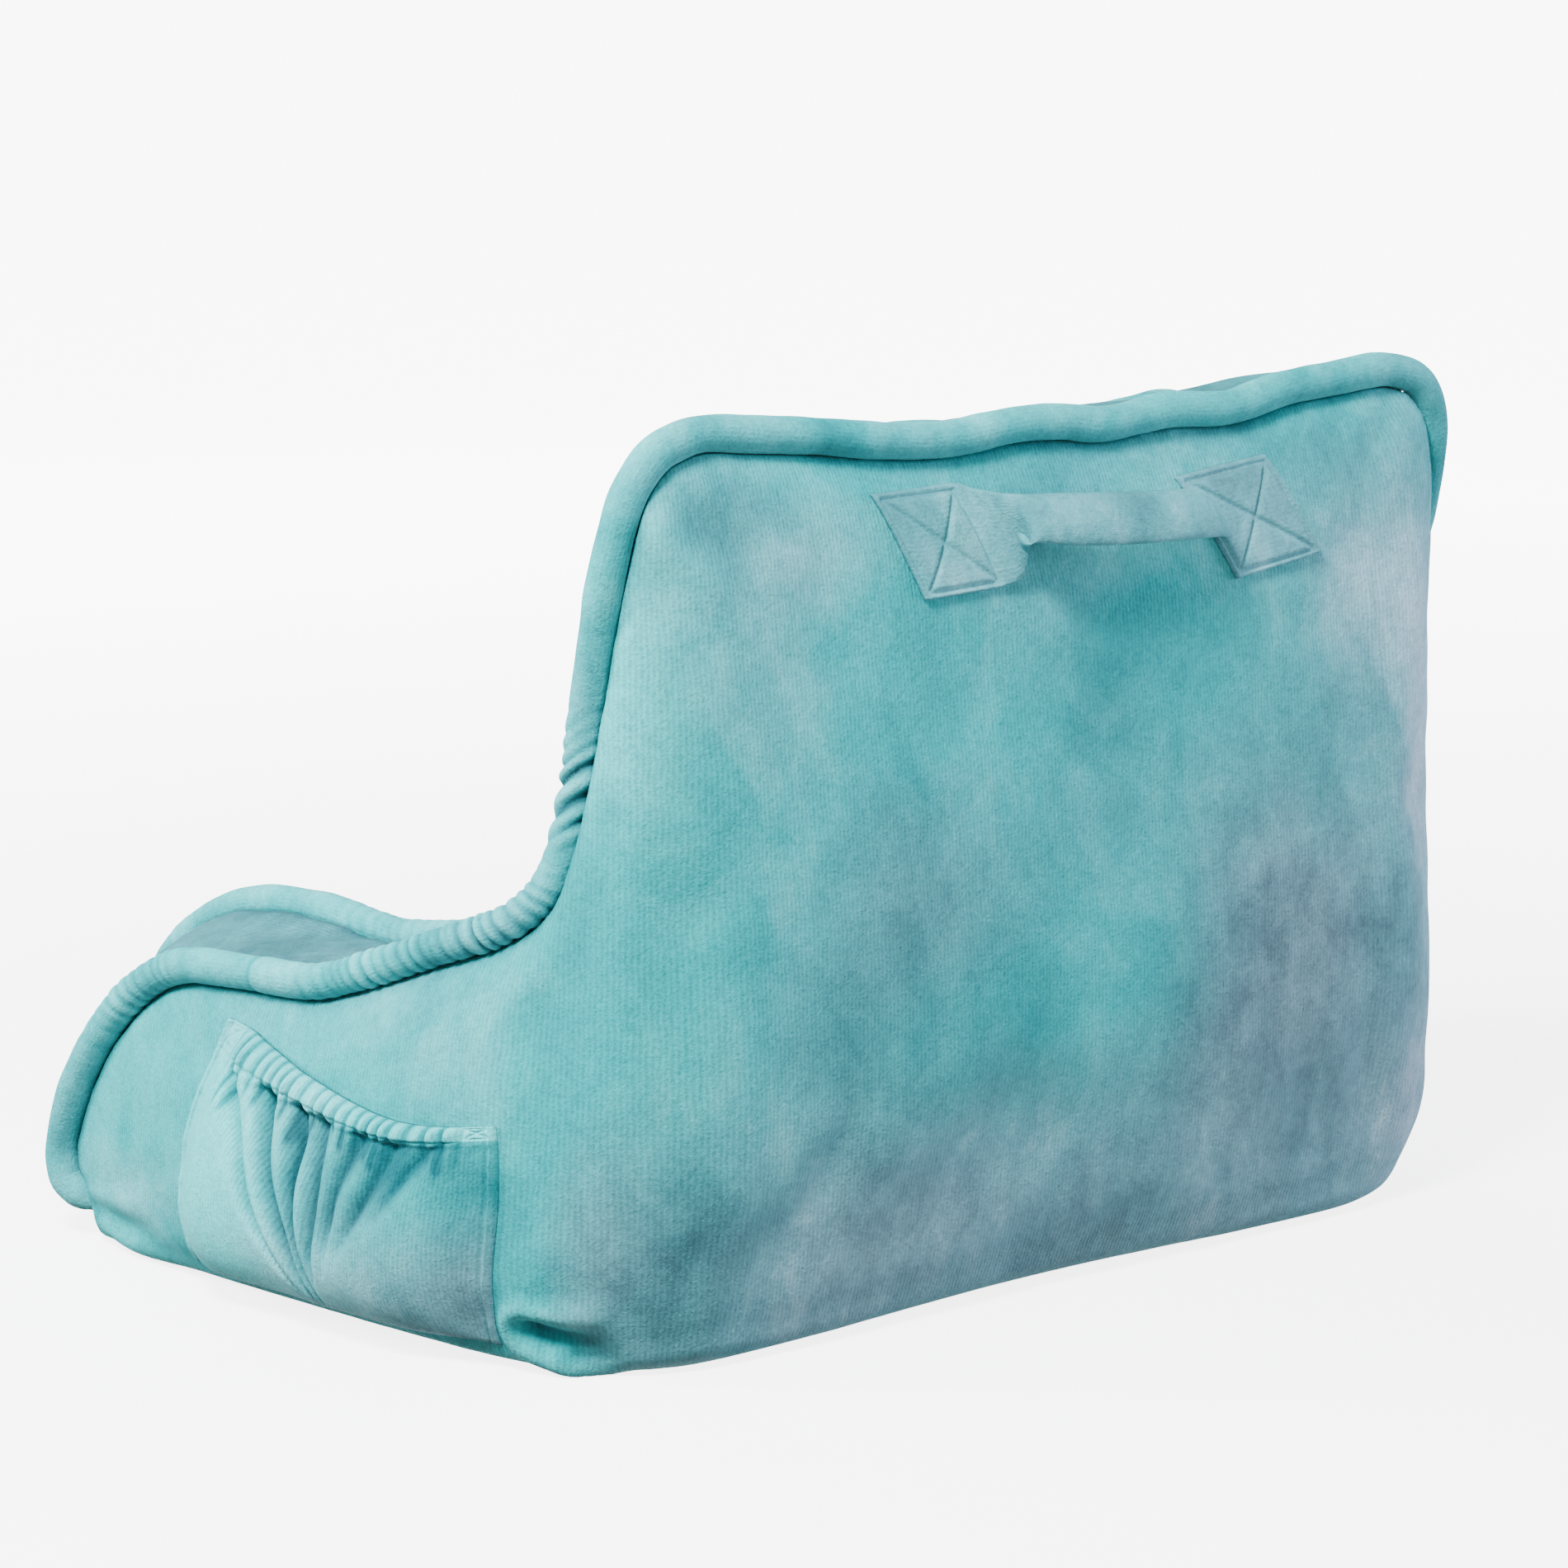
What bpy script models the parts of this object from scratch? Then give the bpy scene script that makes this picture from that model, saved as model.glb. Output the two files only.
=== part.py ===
"""A reading pillow with arms: a filled U-shaped back rest with welts, a side pocket and a handle.

The width runs along X, the back stands at +Y with the handle on it, the arms reach towards -Y,
and the pillow rests on its flat base at Z = 0.
"""
import math

import bmesh
import bpy
from mathutils import Vector
from mathutils.bvhtree import BVHTree

# ---- Driving dimensions, in metres ---------------------------------------------------------------
BACK_Y = 0.209              # rear floor edge, so that the bounding box is centred on the origin
HALF_WIDTH = 0.2745         # middle of the back to the corner of its floor edge
ARM_SPLAY = math.radians(8.5)
CORNER_RADIUS = 0.075       # rear corners of the floor edge
BASE_THICKNESS = 0.145      # rear floor edge to front floor edge, across the back
SEAT_HALF_WIDTH = 0.180     # middle of the seat to its rear corner
SEAT_CORNER_RADIUS = 0.055
FLOOR_BOW = 0.012           # how far the rear floor edge draws in at its middle
SLUMP = 0.72                # how much less the filling pushes near the seams than near the floor
SIDE_LEAN = -0.045          # sideways lean of the soft body, for each metre of height

WELT_RADIUS = 0.0095
WELT_GAP = 0.0011           # room in the notch, so that the faceted welt nearly touches its lips
NOTCH_HALF_WIDTH = 0.008    # the sewn notch that the welt lies in
NOTCH_DEPTH = 0.0044

OUTSIDE = 0.2               # a distance that is clear of the body on every side
CLOTH_THICKNESS = 0.002
SEWN_GAP = 0.0006           # cloth sewn flat on the body
FOOT_GAP = 0.0012           # extra room over the tucked-under cloth near the floor

PUFF_ROUNDNESS = 0.6        # below 1 the panels and the gusset round off close to their seams
FLOOR_TUCK = 0.12           # how flat the panels lie where they tuck under and meet the seams
FLOOR_CROWDING = 1.25       # above 1 the points of a panel lie closer together near the floor

STEPS_PER_ROW = 3
OUTER_PANEL_STEPS = 9
INNER_PANEL_STEPS = 7
GUSSET_STEPS = 4
BASE_STEPS = 2

# Seam rows from one arm's foot to the middle of the top. x, y and z are the middle of each welt,
# with y counted from the rear floor edge; floor_* is the distance along each floor edge, from the
# middle of the back, that the row's panel runs down to; puff_* is how far the filling pushes each
# panel out; crown is how far it lifts the gusset.
SEAM_COLUMNS = ("outer_x", "outer_y", "outer_z", "inner_x", "inner_y", "inner_z",
                "floor_outer", "floor_inner", "puff_outer", "puff_inner", "crown")
SEAM_ROWS = {
    "foot":        (0.342, -0.386, 0.017, 0.250, -0.424, 0.017, 0.632, 0.430, 0.004, 0.004, 0.003),
    "toe":         (0.345, -0.396, 0.047, 0.256, -0.442, 0.060, 0.600, 0.404, 0.014, 0.014, 0.010),
    "front":       (0.345, -0.377, 0.094, 0.257, -0.438, 0.118, 0.586, 0.392, 0.026, 0.024, 0.010),
    "brow":        (0.341, -0.343, 0.136, 0.252, -0.406, 0.154, 0.566, 0.372, 0.034, 0.030, 0.006),
    "arm_front":   (0.336, -0.301, 0.162, 0.246, -0.363, 0.173, 0.534, 0.340, 0.038, 0.034, -0.003),
    "arm_crest":   (0.329, -0.250, 0.168, 0.240, -0.308, 0.178, 0.494, 0.300, 0.041, 0.036, -0.008),
    "arm_dip":     (0.321, -0.198, 0.171, 0.232, -0.248, 0.174, 0.449, 0.254, 0.043, 0.038, -0.006),
    "rise":        (0.314, -0.160, 0.183, 0.225, -0.205, 0.184, 0.411, 0.224, 0.045, 0.039, 0.000),
    "slope":       (0.307, -0.112, 0.202, 0.218, -0.165, 0.208, 0.370, 0.200, 0.046, 0.040, 0.004),
    "crook":       (0.296, -0.068, 0.220, 0.211, -0.138, 0.234, 0.335, 0.182, 0.046, 0.042, 0.006),
    "bend":        (0.283, -0.048, 0.244, 0.205, -0.122, 0.262, 0.319, 0.170, 0.046, 0.043, 0.008),
    "side_low":    (0.277, -0.040, 0.285, 0.199, -0.108, 0.300, 0.301, 0.160, 0.046, 0.045, 0.010),
    "side_middle": (0.277, -0.032, 0.335, 0.197, -0.100, 0.345, 0.283, 0.151, 0.045, 0.046, 0.010),
    "side_top":    (0.278, -0.018, 0.400, 0.197, -0.095, 0.384, 0.261, 0.142, 0.042, 0.048, 0.008),
    "corner":      (0.266, -0.012, 0.441, 0.188, -0.098, 0.417, 0.237, 0.133, 0.042, 0.050, 0.008),
    "top_side":    (0.230, -0.012, 0.455, 0.155, -0.104, 0.432, 0.203, 0.121, 0.043, 0.052, 0.009),
    "top_quarter": (0.118, -0.012, 0.446, 0.090, -0.107, 0.429, 0.120, 0.078, 0.052, 0.056, 0.010),
    "top_middle":  (0.000, -0.012, 0.445, 0.000, -0.107, 0.428, 0.000, 0.000, 0.058, 0.060, 0.010),
}

# Small dips and rises of the sewn top edge, from one side of the back to the other.
TOP_WAVES = {  # place across the back: rise of the edge
    -0.24: 0.002, -0.19: 0.003, -0.14: -0.002, -0.09: 0.001, -0.05: -0.003, 0.00: 0.002,
    0.05: -0.003, 0.10: -0.001, 0.15: 0.002, 0.20: 0.003, 0.24: 0.000,
}
WAVE_HALF_LENGTH = 0.03
WAVE_START_HEIGHT = 0.40    # the waves fade in above this height
WAVE_FADE_HEIGHT = 0.03

# The side pocket lies on the arm at +X. Its edges are given from the foot up, as the distance
# forward of the rear corner along the arm, and the height. The mouth sags between its ends and its
# cloth stands off the arm by the mouth gap there, and by the belly about a quarter of the way up.
POCKET_FRONT_EDGE = ((0.274, 0.014), (0.278, 0.050), (0.275, 0.085), (0.264, 0.117), (0.254, 0.145))
POCKET_REAR_EDGE = ((0.060, 0.014), (0.058, 0.050), (0.057, 0.085), (0.058, 0.110), (0.060, 0.125))
POCKET_MOUTH_SAG = 0.008
POCKET_MOUTH_GAP = 0.013
POCKET_BELLY = 0.017
POCKET_SIDE_SHARE = 0.15    # how much of its length the cloth takes to leave the arm at each side
POCKET_ROUNDNESS = 0.7
POCKET_COLUMNS = 48
POCKET_STEPS_PER_POINT = 3
FOLD_FADE = 0.2
# Deep folds of the gathered pocket: where each starts along the mouth and ends along the foot,
# both as shares of the length from the front edge, how high its lower end is, its depth and width.
POCKET_FOLDS = {
    "first":  {"top": 0.06, "foot": 0.42, "end": 0.00, "depth": 0.005, "width": 0.045},
    "second": {"top": 0.22, "foot": 0.45, "end": 0.00, "depth": 0.008, "width": 0.040},
    "third":  {"top": 0.34, "foot": 0.48, "end": 0.00, "depth": 0.007, "width": 0.035},
    "fourth": {"top": 0.56, "foot": 0.52, "end": 0.25, "depth": 0.007, "width": 0.040},
    "fifth":  {"top": 0.76, "foot": 0.66, "end": 0.35, "depth": 0.006, "width": 0.045},
}

# Sections of the handle's strip from its end at +X to its end at -X: the upper and lower edge
# (x and z each), how far it stands off the back, and its thickness.
STRIP_COLUMNS = ("top_x", "top_z", "foot_x", "foot_z", "stand_off", "thickness")
STRIP_SECTIONS = {
    "first_end":    (0.122, 0.423, 0.099, 0.370, 0.0000, 0.004),
    "first_patch":  (0.093, 0.423, 0.070, 0.375, 0.0000, 0.004),
    "first_edge":   (0.066, 0.423, 0.041, 0.380, 0.0010, 0.006),
    "first_pinch":  (0.056, 0.420, 0.041, 0.391, 0.0080, 0.013),
    "strap_start":  (0.042, 0.418, 0.038, 0.393, 0.0170, 0.014),
    "strap_first":  (0.015, 0.416, 0.015, 0.391, 0.0205, 0.013),
    "strap_second": (-0.025, 0.414, -0.025, 0.389, 0.0215, 0.013),
    "strap_third":  (-0.065, 0.411, -0.065, 0.386, 0.0195, 0.013),
    "strap_end":    (-0.086, 0.409, -0.088, 0.384, 0.0125, 0.013),
    "second_pinch": (-0.091, 0.411, -0.103, 0.374, 0.0040, 0.010),
    "second_edge":  (-0.094, 0.416, -0.117, 0.361, 0.0010, 0.005),
    "second_patch": (-0.118, 0.419, -0.142, 0.365, 0.0000, 0.004),
    "second_end":   (-0.146, 0.421, -0.171, 0.370, 0.0000, 0.004),
}
STRIP_ROUNDING = 0.35       # how far the strip's edges round in, as a share of its thickness
STRIP_STEPS = 2
STRIP_ROWS = 5

CLOTH_ROUGHNESS = 0.85
AQUA = (0.13, 0.42, 0.40)
PALE_AQUA = (0.18, 0.50, 0.47)


class FloorEdge:
    """A floor edge seen from above: along the back, round one rear corner, out along the arm."""

    def __init__(self, edge_y, corner_x, radius):
        self.edge_y = edge_y
        self.radius = radius
        self.turn = math.pi / 2 - ARM_SPLAY
        tangent = radius * math.tan(self.turn / 2)
        self.straight = corner_x - tangent
        self.arc_end = self.straight + radius * self.turn

    def at(self, distance):
        """The point at a distance from the middle of the back, and the outward direction there."""
        if distance <= self.straight:
            bow = FLOOR_BOW * math.cos(math.pi / 2 * distance / self.straight) ** 2
            return Vector((distance, self.edge_y - bow, 0.0)), Vector((0.0, 1.0, 0.0))
        angle = min((distance - self.straight) / self.radius, self.turn)
        outward = Vector((math.sin(angle), math.cos(angle), 0.0))
        centre = Vector((self.straight, self.edge_y - self.radius, 0.0))
        along_arm = Vector((math.sin(ARM_SPLAY), -math.cos(ARM_SPLAY), 0.0))
        beyond = max(distance - self.arc_end, 0.0)
        return centre + outward * self.radius + along_arm * beyond, outward


def smooth_rows(rows, steps):
    """Rows on a smooth curve through the given rows, with the same number of steps between each."""
    padded = [rows[0]] + list(rows) + [rows[-1]]
    result = []
    for index in range(1, len(padded) - 2):
        before, start, end, after = padded[index - 1:index + 3]
        for step in range(steps):
            t = step / steps
            result.append([
                0.5 * (2 * b + (c - a) * t + (2 * a - 5 * b + 4 * c - d) * t ** 2
                       + (3 * b - a - 3 * c + d) * t ** 3)
                for a, b, c, d in zip(before, start, end, after)
            ])
    result.append(list(rows[-1]))
    return result


def seam_columns():
    """Every section's values, from the foot of one arm over the top to the foot of the other."""
    half = [dict(zip(SEAM_COLUMNS, row)) for row in smooth_rows(list(SEAM_ROWS.values()), STEPS_PER_ROW)]
    right = [dict(row, side=1) for row in half]
    left = [dict(row, side=-1) for row in reversed(half[:-1])]
    return right + left


def mirrored(point, side):
    return Vector((point.x * side, point.y, point.z))


def leaned(point):
    return Vector((point.x + SIDE_LEAN * point.z, point.y, point.z))


def top_wave(x, z):
    """The rise of the top edge at a place across the back, fading out below the edge."""
    fade = min(max((z - WAVE_START_HEIGHT) / WAVE_FADE_HEIGHT, 0.0), 1.0)
    rises = [rise * max(1 - abs(x - place) / WAVE_HALF_LENGTH, 0.0) for place, rise in TOP_WAVES.items()]
    return fade * sum(rises)


def puffed_column(floor, seam, outward, puff, steps):
    """Points from the floor edge up to a seam, tucked under below and pushed out by the filling."""
    points = []
    for step in range(steps + 1):
        t = (step / steps) ** FLOOR_CROWDING
        rise = t - FLOOR_TUCK * math.sin(2 * math.pi * t)
        fade = 1 - SLUMP * math.sin(math.pi / 2 * t) ** 2
        push = puff * fade * math.sin(math.pi * t) ** PUFF_ROUNDNESS
        point = floor.lerp(seam, t) + outward * push
        point.z = seam.z * rise
        points.append(point)
    return points


class Section:
    """One cross-section of the body, with the notches that its two welts lie in."""

    def __init__(self, row, outer_edge, inner_edge):
        side = row["side"]
        self.row = row
        self.welts = []
        for name in ("outer", "inner"):
            point = Vector((row[name + "_x"], BACK_Y + row[name + "_y"], row[name + "_z"]))
            point = leaned(mirrored(point, side))
            point.z += top_wave(point.x, point.z)
            self.welts.append(point)
        self.floors = []
        self.outwards = []
        for name, edge in (("outer", outer_edge), ("inner", inner_edge)):
            point, outward = edge.at(row["floor_" + name])
            self.floors.append(mirrored(point, side))
            self.outwards.append(mirrored(outward, side) * (1 if name == "outer" else -1))

    def cut_notches(self, alongs):
        """Set the lips and the bottom of both notches from the direction of each welt."""
        across = self.welts[1] - self.welts[0]
        sink = math.sqrt((WELT_RADIUS + WELT_GAP) ** 2 - NOTCH_HALF_WIDTH ** 2)
        self.gusset_normal = (alongs[0] + alongs[1]).cross(across).normalized()
        self.notches = []
        for welt, along, outward in zip(self.welts, alongs, self.outwards):
            panel_normal = (outward - along * outward.dot(along)).normalized()
            gusset_normal = along.cross(across).normalized()
            bisector = (gusset_normal + panel_normal).normalized()
            to_panel = (panel_normal - gusset_normal).normalized()
            seat = welt - bisector * sink
            self.notches.append((
                seat + to_panel * NOTCH_HALF_WIDTH,
                seat - bisector * NOTCH_DEPTH,
                seat - to_panel * NOTCH_HALF_WIDTH,
            ))

    def ring(self):
        """The closed loop of points round the section, starting at the outer floor edge."""
        row = self.row
        (outer_lip, outer_bottom, outer_inside), (inner_lip, inner_bottom, inner_inside) = self.notches
        points = puffed_column(self.floors[0], outer_lip, self.outwards[0], row["puff_outer"],
                               OUTER_PANEL_STEPS)
        points.append(outer_bottom)
        for step in range(GUSSET_STEPS + 1):
            t = step / GUSSET_STEPS
            lift = self.gusset_normal * row["crown"] * math.sin(math.pi * t) ** PUFF_ROUNDNESS
            points.append(outer_inside.lerp(inner_inside, t) + lift)
        points.append(inner_bottom)
        inner = puffed_column(self.floors[1], inner_lip, self.outwards[1], row["puff_inner"],
                              INNER_PANEL_STEPS)
        points.extend(reversed(inner))
        for step in range(1, BASE_STEPS):
            points.append(self.floors[1].lerp(self.floors[0], step / BASE_STEPS))
        return points


def body_sections():
    outer_edge = FloorEdge(BACK_Y, HALF_WIDTH, CORNER_RADIUS)
    inner_edge = FloorEdge(BACK_Y - BASE_THICKNESS, SEAT_HALF_WIDTH, SEAT_CORNER_RADIUS)
    sections = [Section(row, outer_edge, inner_edge) for row in seam_columns()]
    for index, section in enumerate(sections):
        before = sections[max(index - 1, 0)]
        after = sections[min(index + 1, len(sections) - 1)]
        section.cut_notches([(after.welts[k] - before.welts[k]).normalized() for k in (0, 1)])
    return sections


def new_object(name, mesh, material, collection):
    item = bpy.data.objects.new(name, mesh)
    item.data.materials.append(material)
    collection.objects.link(item)
    return item


def make_body(sections, material, collection):
    bm = bmesh.new()
    rings = [[bm.verts.new(point) for point in section.ring()] for section in sections]
    count = len(rings[0])
    for first, second in zip(rings, rings[1:]):
        for k in range(count):
            bm.faces.new((first[k], first[(k + 1) % count], second[(k + 1) % count], second[k]))
    bm.faces.new(list(reversed(rings[0])))
    bm.faces.new(rings[-1])
    bmesh.ops.recalc_face_normals(bm, faces=bm.faces)
    mesh = bpy.data.meshes.new("pillow_body")
    bm.to_mesh(mesh)
    bm.free()
    mesh.shade_smooth()
    return new_object("pillow_body", mesh, material, collection)


def make_welt(name, points, material, collection):
    curve = bpy.data.curves.new(name, "CURVE")
    curve.dimensions = "3D"
    curve.bevel_depth = WELT_RADIUS
    curve.bevel_resolution = 2
    curve.use_fill_caps = True
    spline = curve.splines.new("POLY")
    spline.points.add(len(points) - 1)
    for spline_point, point in zip(spline.points, points):
        spline_point.co = (*point, 1.0)
    return new_object(name, curve, material, collection)


def first_hit(tree, start, direction):
    """Where a line from outside first meets the body, moved off it by the sewn gap."""
    point, normal = tree.ray_cast(start, direction)[:2]
    return point + normal * SEWN_GAP


def closed_sheet(name, front, back, material, collection):
    """A sheet from two grids of points, its two faces, joined round their edges."""
    bm = bmesh.new()
    faces = [[[bm.verts.new(point) for point in line] for line in grid] for grid in (front, back)]
    lines = len(front)
    count = len(front[0])
    for grid in faces:
        for i in range(lines - 1):
            for k in range(count - 1):
                bm.faces.new((grid[i][k], grid[i][k + 1], grid[i + 1][k + 1], grid[i + 1][k]))
    rim = [(i, 0) for i in range(lines)]
    rim += [(lines - 1, k) for k in range(1, count)]
    rim += [(i, count - 1) for i in range(lines - 2, -1, -1)]
    rim += [(0, k) for k in range(count - 2, 0, -1)]
    for (i, k), (j, m) in zip(rim, rim[1:] + rim[:1]):
        bm.faces.new((faces[0][i][k], faces[0][j][m], faces[1][j][m], faces[1][i][k]))
    bmesh.ops.recalc_face_normals(bm, faces=bm.faces)
    mesh = bpy.data.meshes.new(name)
    bm.to_mesh(mesh)
    bm.free()
    mesh.shade_smooth()
    return new_object(name, mesh, material, collection)


def pocket_stand_off(along, up):
    """How far the pocket's cloth stands off the arm at a place on it."""
    from_side = min(along, 1 - along) / POCKET_SIDE_SHARE
    open_share = min(from_side, 1.0) ** POCKET_ROUNDNESS
    mouth = POCKET_MOUTH_GAP * up ** 2
    belly = POCKET_BELLY * math.sin(math.pi * math.sqrt(up)) ** POCKET_ROUNDNESS
    folds = 0.0
    for fold in POCKET_FOLDS.values():
        middle = fold["foot"] + (fold["top"] - fold["foot"]) * up
        fade_in = min(max((up - fold["end"]) / FOLD_FADE, 0.0), 1.0)
        fade = fade_in * min((1.0 - up) / FOLD_FADE, 1.0)
        folds += fold["depth"] * fade * math.exp(-((along - middle) / fold["width"]) ** 2)
    return open_share * max(mouth + belly - folds, 0.0) + FOOT_GAP * (1 - up) ** 3


def make_pocket(tree, material, collection):
    outward = Vector((math.cos(ARM_SPLAY), math.sin(ARM_SPLAY), 0.0))
    forward = Vector((math.sin(ARM_SPLAY), -math.cos(ARM_SPLAY), 0.0))
    corner = Vector((HALF_WIDTH, BACK_Y, 0.0))
    front_edge = smooth_rows(POCKET_FRONT_EDGE, POCKET_STEPS_PER_POINT)
    rear_edge = smooth_rows(POCKET_REAR_EDGE, POCKET_STEPS_PER_POINT)
    inner_face = []
    outer_face = []
    for column in range(POCKET_COLUMNS + 1):
        along = column / POCKET_COLUMNS
        sag = POCKET_MOUTH_SAG * math.sin(math.pi * along)
        inner_line = []
        for row, (front, rear) in enumerate(zip(front_edge, rear_edge)):
            up = row / (len(front_edge) - 1)
            reach, height = Vector(front).lerp(Vector(rear), along)
            start = corner + forward * reach + outward * OUTSIDE
            start.z = height - sag * up
            inner_line.append(first_hit(tree, start, -outward) + outward * pocket_stand_off(along, up))
        inner_face.append(inner_line)
        outer_face.append([point + outward * CLOTH_THICKNESS for point in inner_line])
    return closed_sheet("arm_pocket", outer_face, inner_face, material, collection)


def make_handle(tree, material, collection):
    rear = Vector((0.0, 1.0, 0.0))
    behind = BACK_Y + OUTSIDE
    inner_face = []
    outer_face = []
    for values in smooth_rows(list(STRIP_SECTIONS.values()), STRIP_STEPS):
        section = dict(zip(STRIP_COLUMNS, values))
        top = Vector((section["top_x"], behind, section["top_z"]))
        foot = Vector((section["foot_x"], behind, section["foot_z"]))
        inner_line = []
        outer_line = []
        for row in range(STRIP_ROWS + 1):
            up = row / STRIP_ROWS
            stand_off = max(section["stand_off"], 0.0)
            rounding = section["thickness"] * STRIP_ROUNDING * (1 - math.sin(math.pi * up))
            skin = first_hit(tree, foot.lerp(top, up), -rear)
            inner_line.append(skin + rear * (stand_off + rounding))
            outer_line.append(skin + rear * (stand_off + section["thickness"] - rounding))
        inner_face.append(inner_line)
        outer_face.append(outer_line)
    return closed_sheet("carry_handle", outer_face, inner_face, material, collection)


def velour(name, colour):
    material = bpy.data.materials.new(name)
    material.use_nodes = True
    shader = material.node_tree.nodes["Principled BSDF"]
    shader.inputs["Base Color"].default_value = (*colour, 1.0)
    shader.inputs["Roughness"].default_value = CLOTH_ROUGHNESS
    shader.inputs["Metallic"].default_value = 0.0
    return material


def main():
    for item in list(bpy.data.objects):
        bpy.data.objects.remove(item)
    collection = bpy.data.collections.new("reading_pillow")
    bpy.context.scene.collection.children.link(collection)
    sections = body_sections()
    aqua = velour("aqua_velour", AQUA)
    pale = velour("aqua_velour_welt", PALE_AQUA)
    body = make_body(sections, aqua, collection)
    corners = [vertex.co for vertex in body.data.vertices]
    tree = BVHTree.FromPolygons(corners, [face.vertices for face in body.data.polygons])
    make_pocket(tree, aqua, collection)
    make_handle(tree, aqua, collection)
    make_welt("outer_welt", [s.welts[0] for s in sections], pale, collection)
    make_welt("inner_welt", [s.welts[1] for s in sections], pale, collection)


main()
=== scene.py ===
"""Reading pillow with arms: its sewn and filled pieces, their plush velour, and a plain studio."""
import math

import bmesh
import bpy
import numpy as np
from bpy.props import FloatProperty, IntProperty, PointerProperty
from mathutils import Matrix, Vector, noise
from mathutils.bvhtree import BVHTree
from mathutils.kdtree import KDTree


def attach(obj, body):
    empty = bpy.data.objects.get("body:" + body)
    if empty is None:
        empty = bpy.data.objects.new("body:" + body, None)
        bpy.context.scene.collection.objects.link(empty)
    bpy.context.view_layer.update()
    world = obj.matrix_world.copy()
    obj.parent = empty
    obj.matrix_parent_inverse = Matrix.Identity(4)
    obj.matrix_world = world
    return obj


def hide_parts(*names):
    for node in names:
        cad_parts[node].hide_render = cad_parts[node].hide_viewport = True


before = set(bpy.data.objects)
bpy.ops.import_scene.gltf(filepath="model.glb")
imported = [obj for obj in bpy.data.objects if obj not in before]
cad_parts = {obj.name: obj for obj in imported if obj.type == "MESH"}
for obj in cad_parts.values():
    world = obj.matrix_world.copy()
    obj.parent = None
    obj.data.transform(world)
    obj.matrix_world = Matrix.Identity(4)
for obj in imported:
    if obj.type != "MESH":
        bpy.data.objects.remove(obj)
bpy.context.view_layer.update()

bl_info = {
    "name": "Reading pillow with arms",
    "version": (1, 0, 0),
    "blender": (4, 5, 0),
    "location": "3D View > Sidebar > Pillow",
    "description": "Builds a filled reading pillow, its welts, pocket and handle, and a studio",
    "category": "Object",
}

# ---- Sizes that the sewn pieces share, in metres -------------------------------------------------
MM = 0.001
BACK_Y = 0.209              # rear floor edge of the body
HALF_WIDTH = 0.2745         # middle of the back to the corner of its floor edge
ARM_SPLAY = math.radians(8.5)
CORNER_RADIUS = 0.075
BASE_THICKNESS = 0.145
SEAT_HALF_WIDTH = 0.180
SEAT_CORNER_RADIUS = 0.055
OUTSIDE = 0.2               # a distance that is clear of the body on every side
SAME_PLACE = 1e-6           # corners that are closer than this are one corner
INNER_PANEL_START = 2.0     # keeps the inner panel's weave clear of the outer panel's

# The crook, where the arm's top meets the back's front: its middle at +X, how far round it the cloth
# is lowered along x, y and z, and how much.
CROOK = (0.208, 0.062, 0.226)
CROOK_REACH = (0.055, 0.062, 0.062)
CROOK_DROP = 0.020

# Over this length each welt's end turns in and back at the arm's foot, this far at its tip, and its
# last stretch tapers.
WELT_TURN = 0.018
WELT_TURN_IN = 0.007
WELT_TURN_BACK = 0.009
WELT_TAPER = 0.009

# The body's cloth, in metres: how far from a welt it grows free to swell, how far above the floor,
# and its large and small lumps, each with their height and how far apart they are.
FREE_FROM_WELT = 0.030
FREE_FROM_FLOOR = 0.020
LARGE_LUMPS = (1.6 * MM, 75 * MM)
SMALL_LUMPS = (0.5 * MM, 28 * MM)

# Beside a welt: how far the cloth is drawn in, and how far that reaches; the height, spacing and
# reach of its puckers; and over what distance it comes in to meet the cord.
DRAWN_IN = 1.0 * MM
DRAWN_REACH = 7 * MM
PUCKER_HEIGHT = 0.35 * MM
PUCKER_PITCH = 17 * MM
PUCKER_REACH = 15 * MM
MEETING_REACH = 10 * MM

# Soft folds of the body's cloth: the two ends of each, its depth and its half width, in millimetres.
FOLD_COLUMNS = ("start", "end", "depth", "half_width")
BODY_FOLDS = {
    "corner_first":  ((252, 212, 438), (210, 218, 384), 4.2, 8.0),
    "corner_second": ((236, 212, 443), (180, 218, 388), 5.0, 9.0),
    "corner_third":  ((214, 212, 446), (146, 218, 398), 3.6, 9.0),
    "corner_fourth": ((262, 206, 418), (240, 214, 360), 3.4, 8.0),
    "far_corner_first": ((-248, 212, 440), (-206, 218, 392), 2.2, 8.0),
    "far_corner_second": ((-226, 212, 446), (-170, 218, 404), 2.0, 8.0),
    "tuck_upper":    ((298, 172, 24), (262, 210, 13), 8.0, 6.0),
    "tuck_lower":    ((283, 190, 10), (262, 212, 6), 4.0, 5.0),
    "foot_crease":   ((345, -160, 20), (338, -70, 16), 3.0, 5.0),
    "far_foot_crease": ((-345, -150, 20), (-338, -70, 16), 3.0, 5.0),
}

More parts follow.
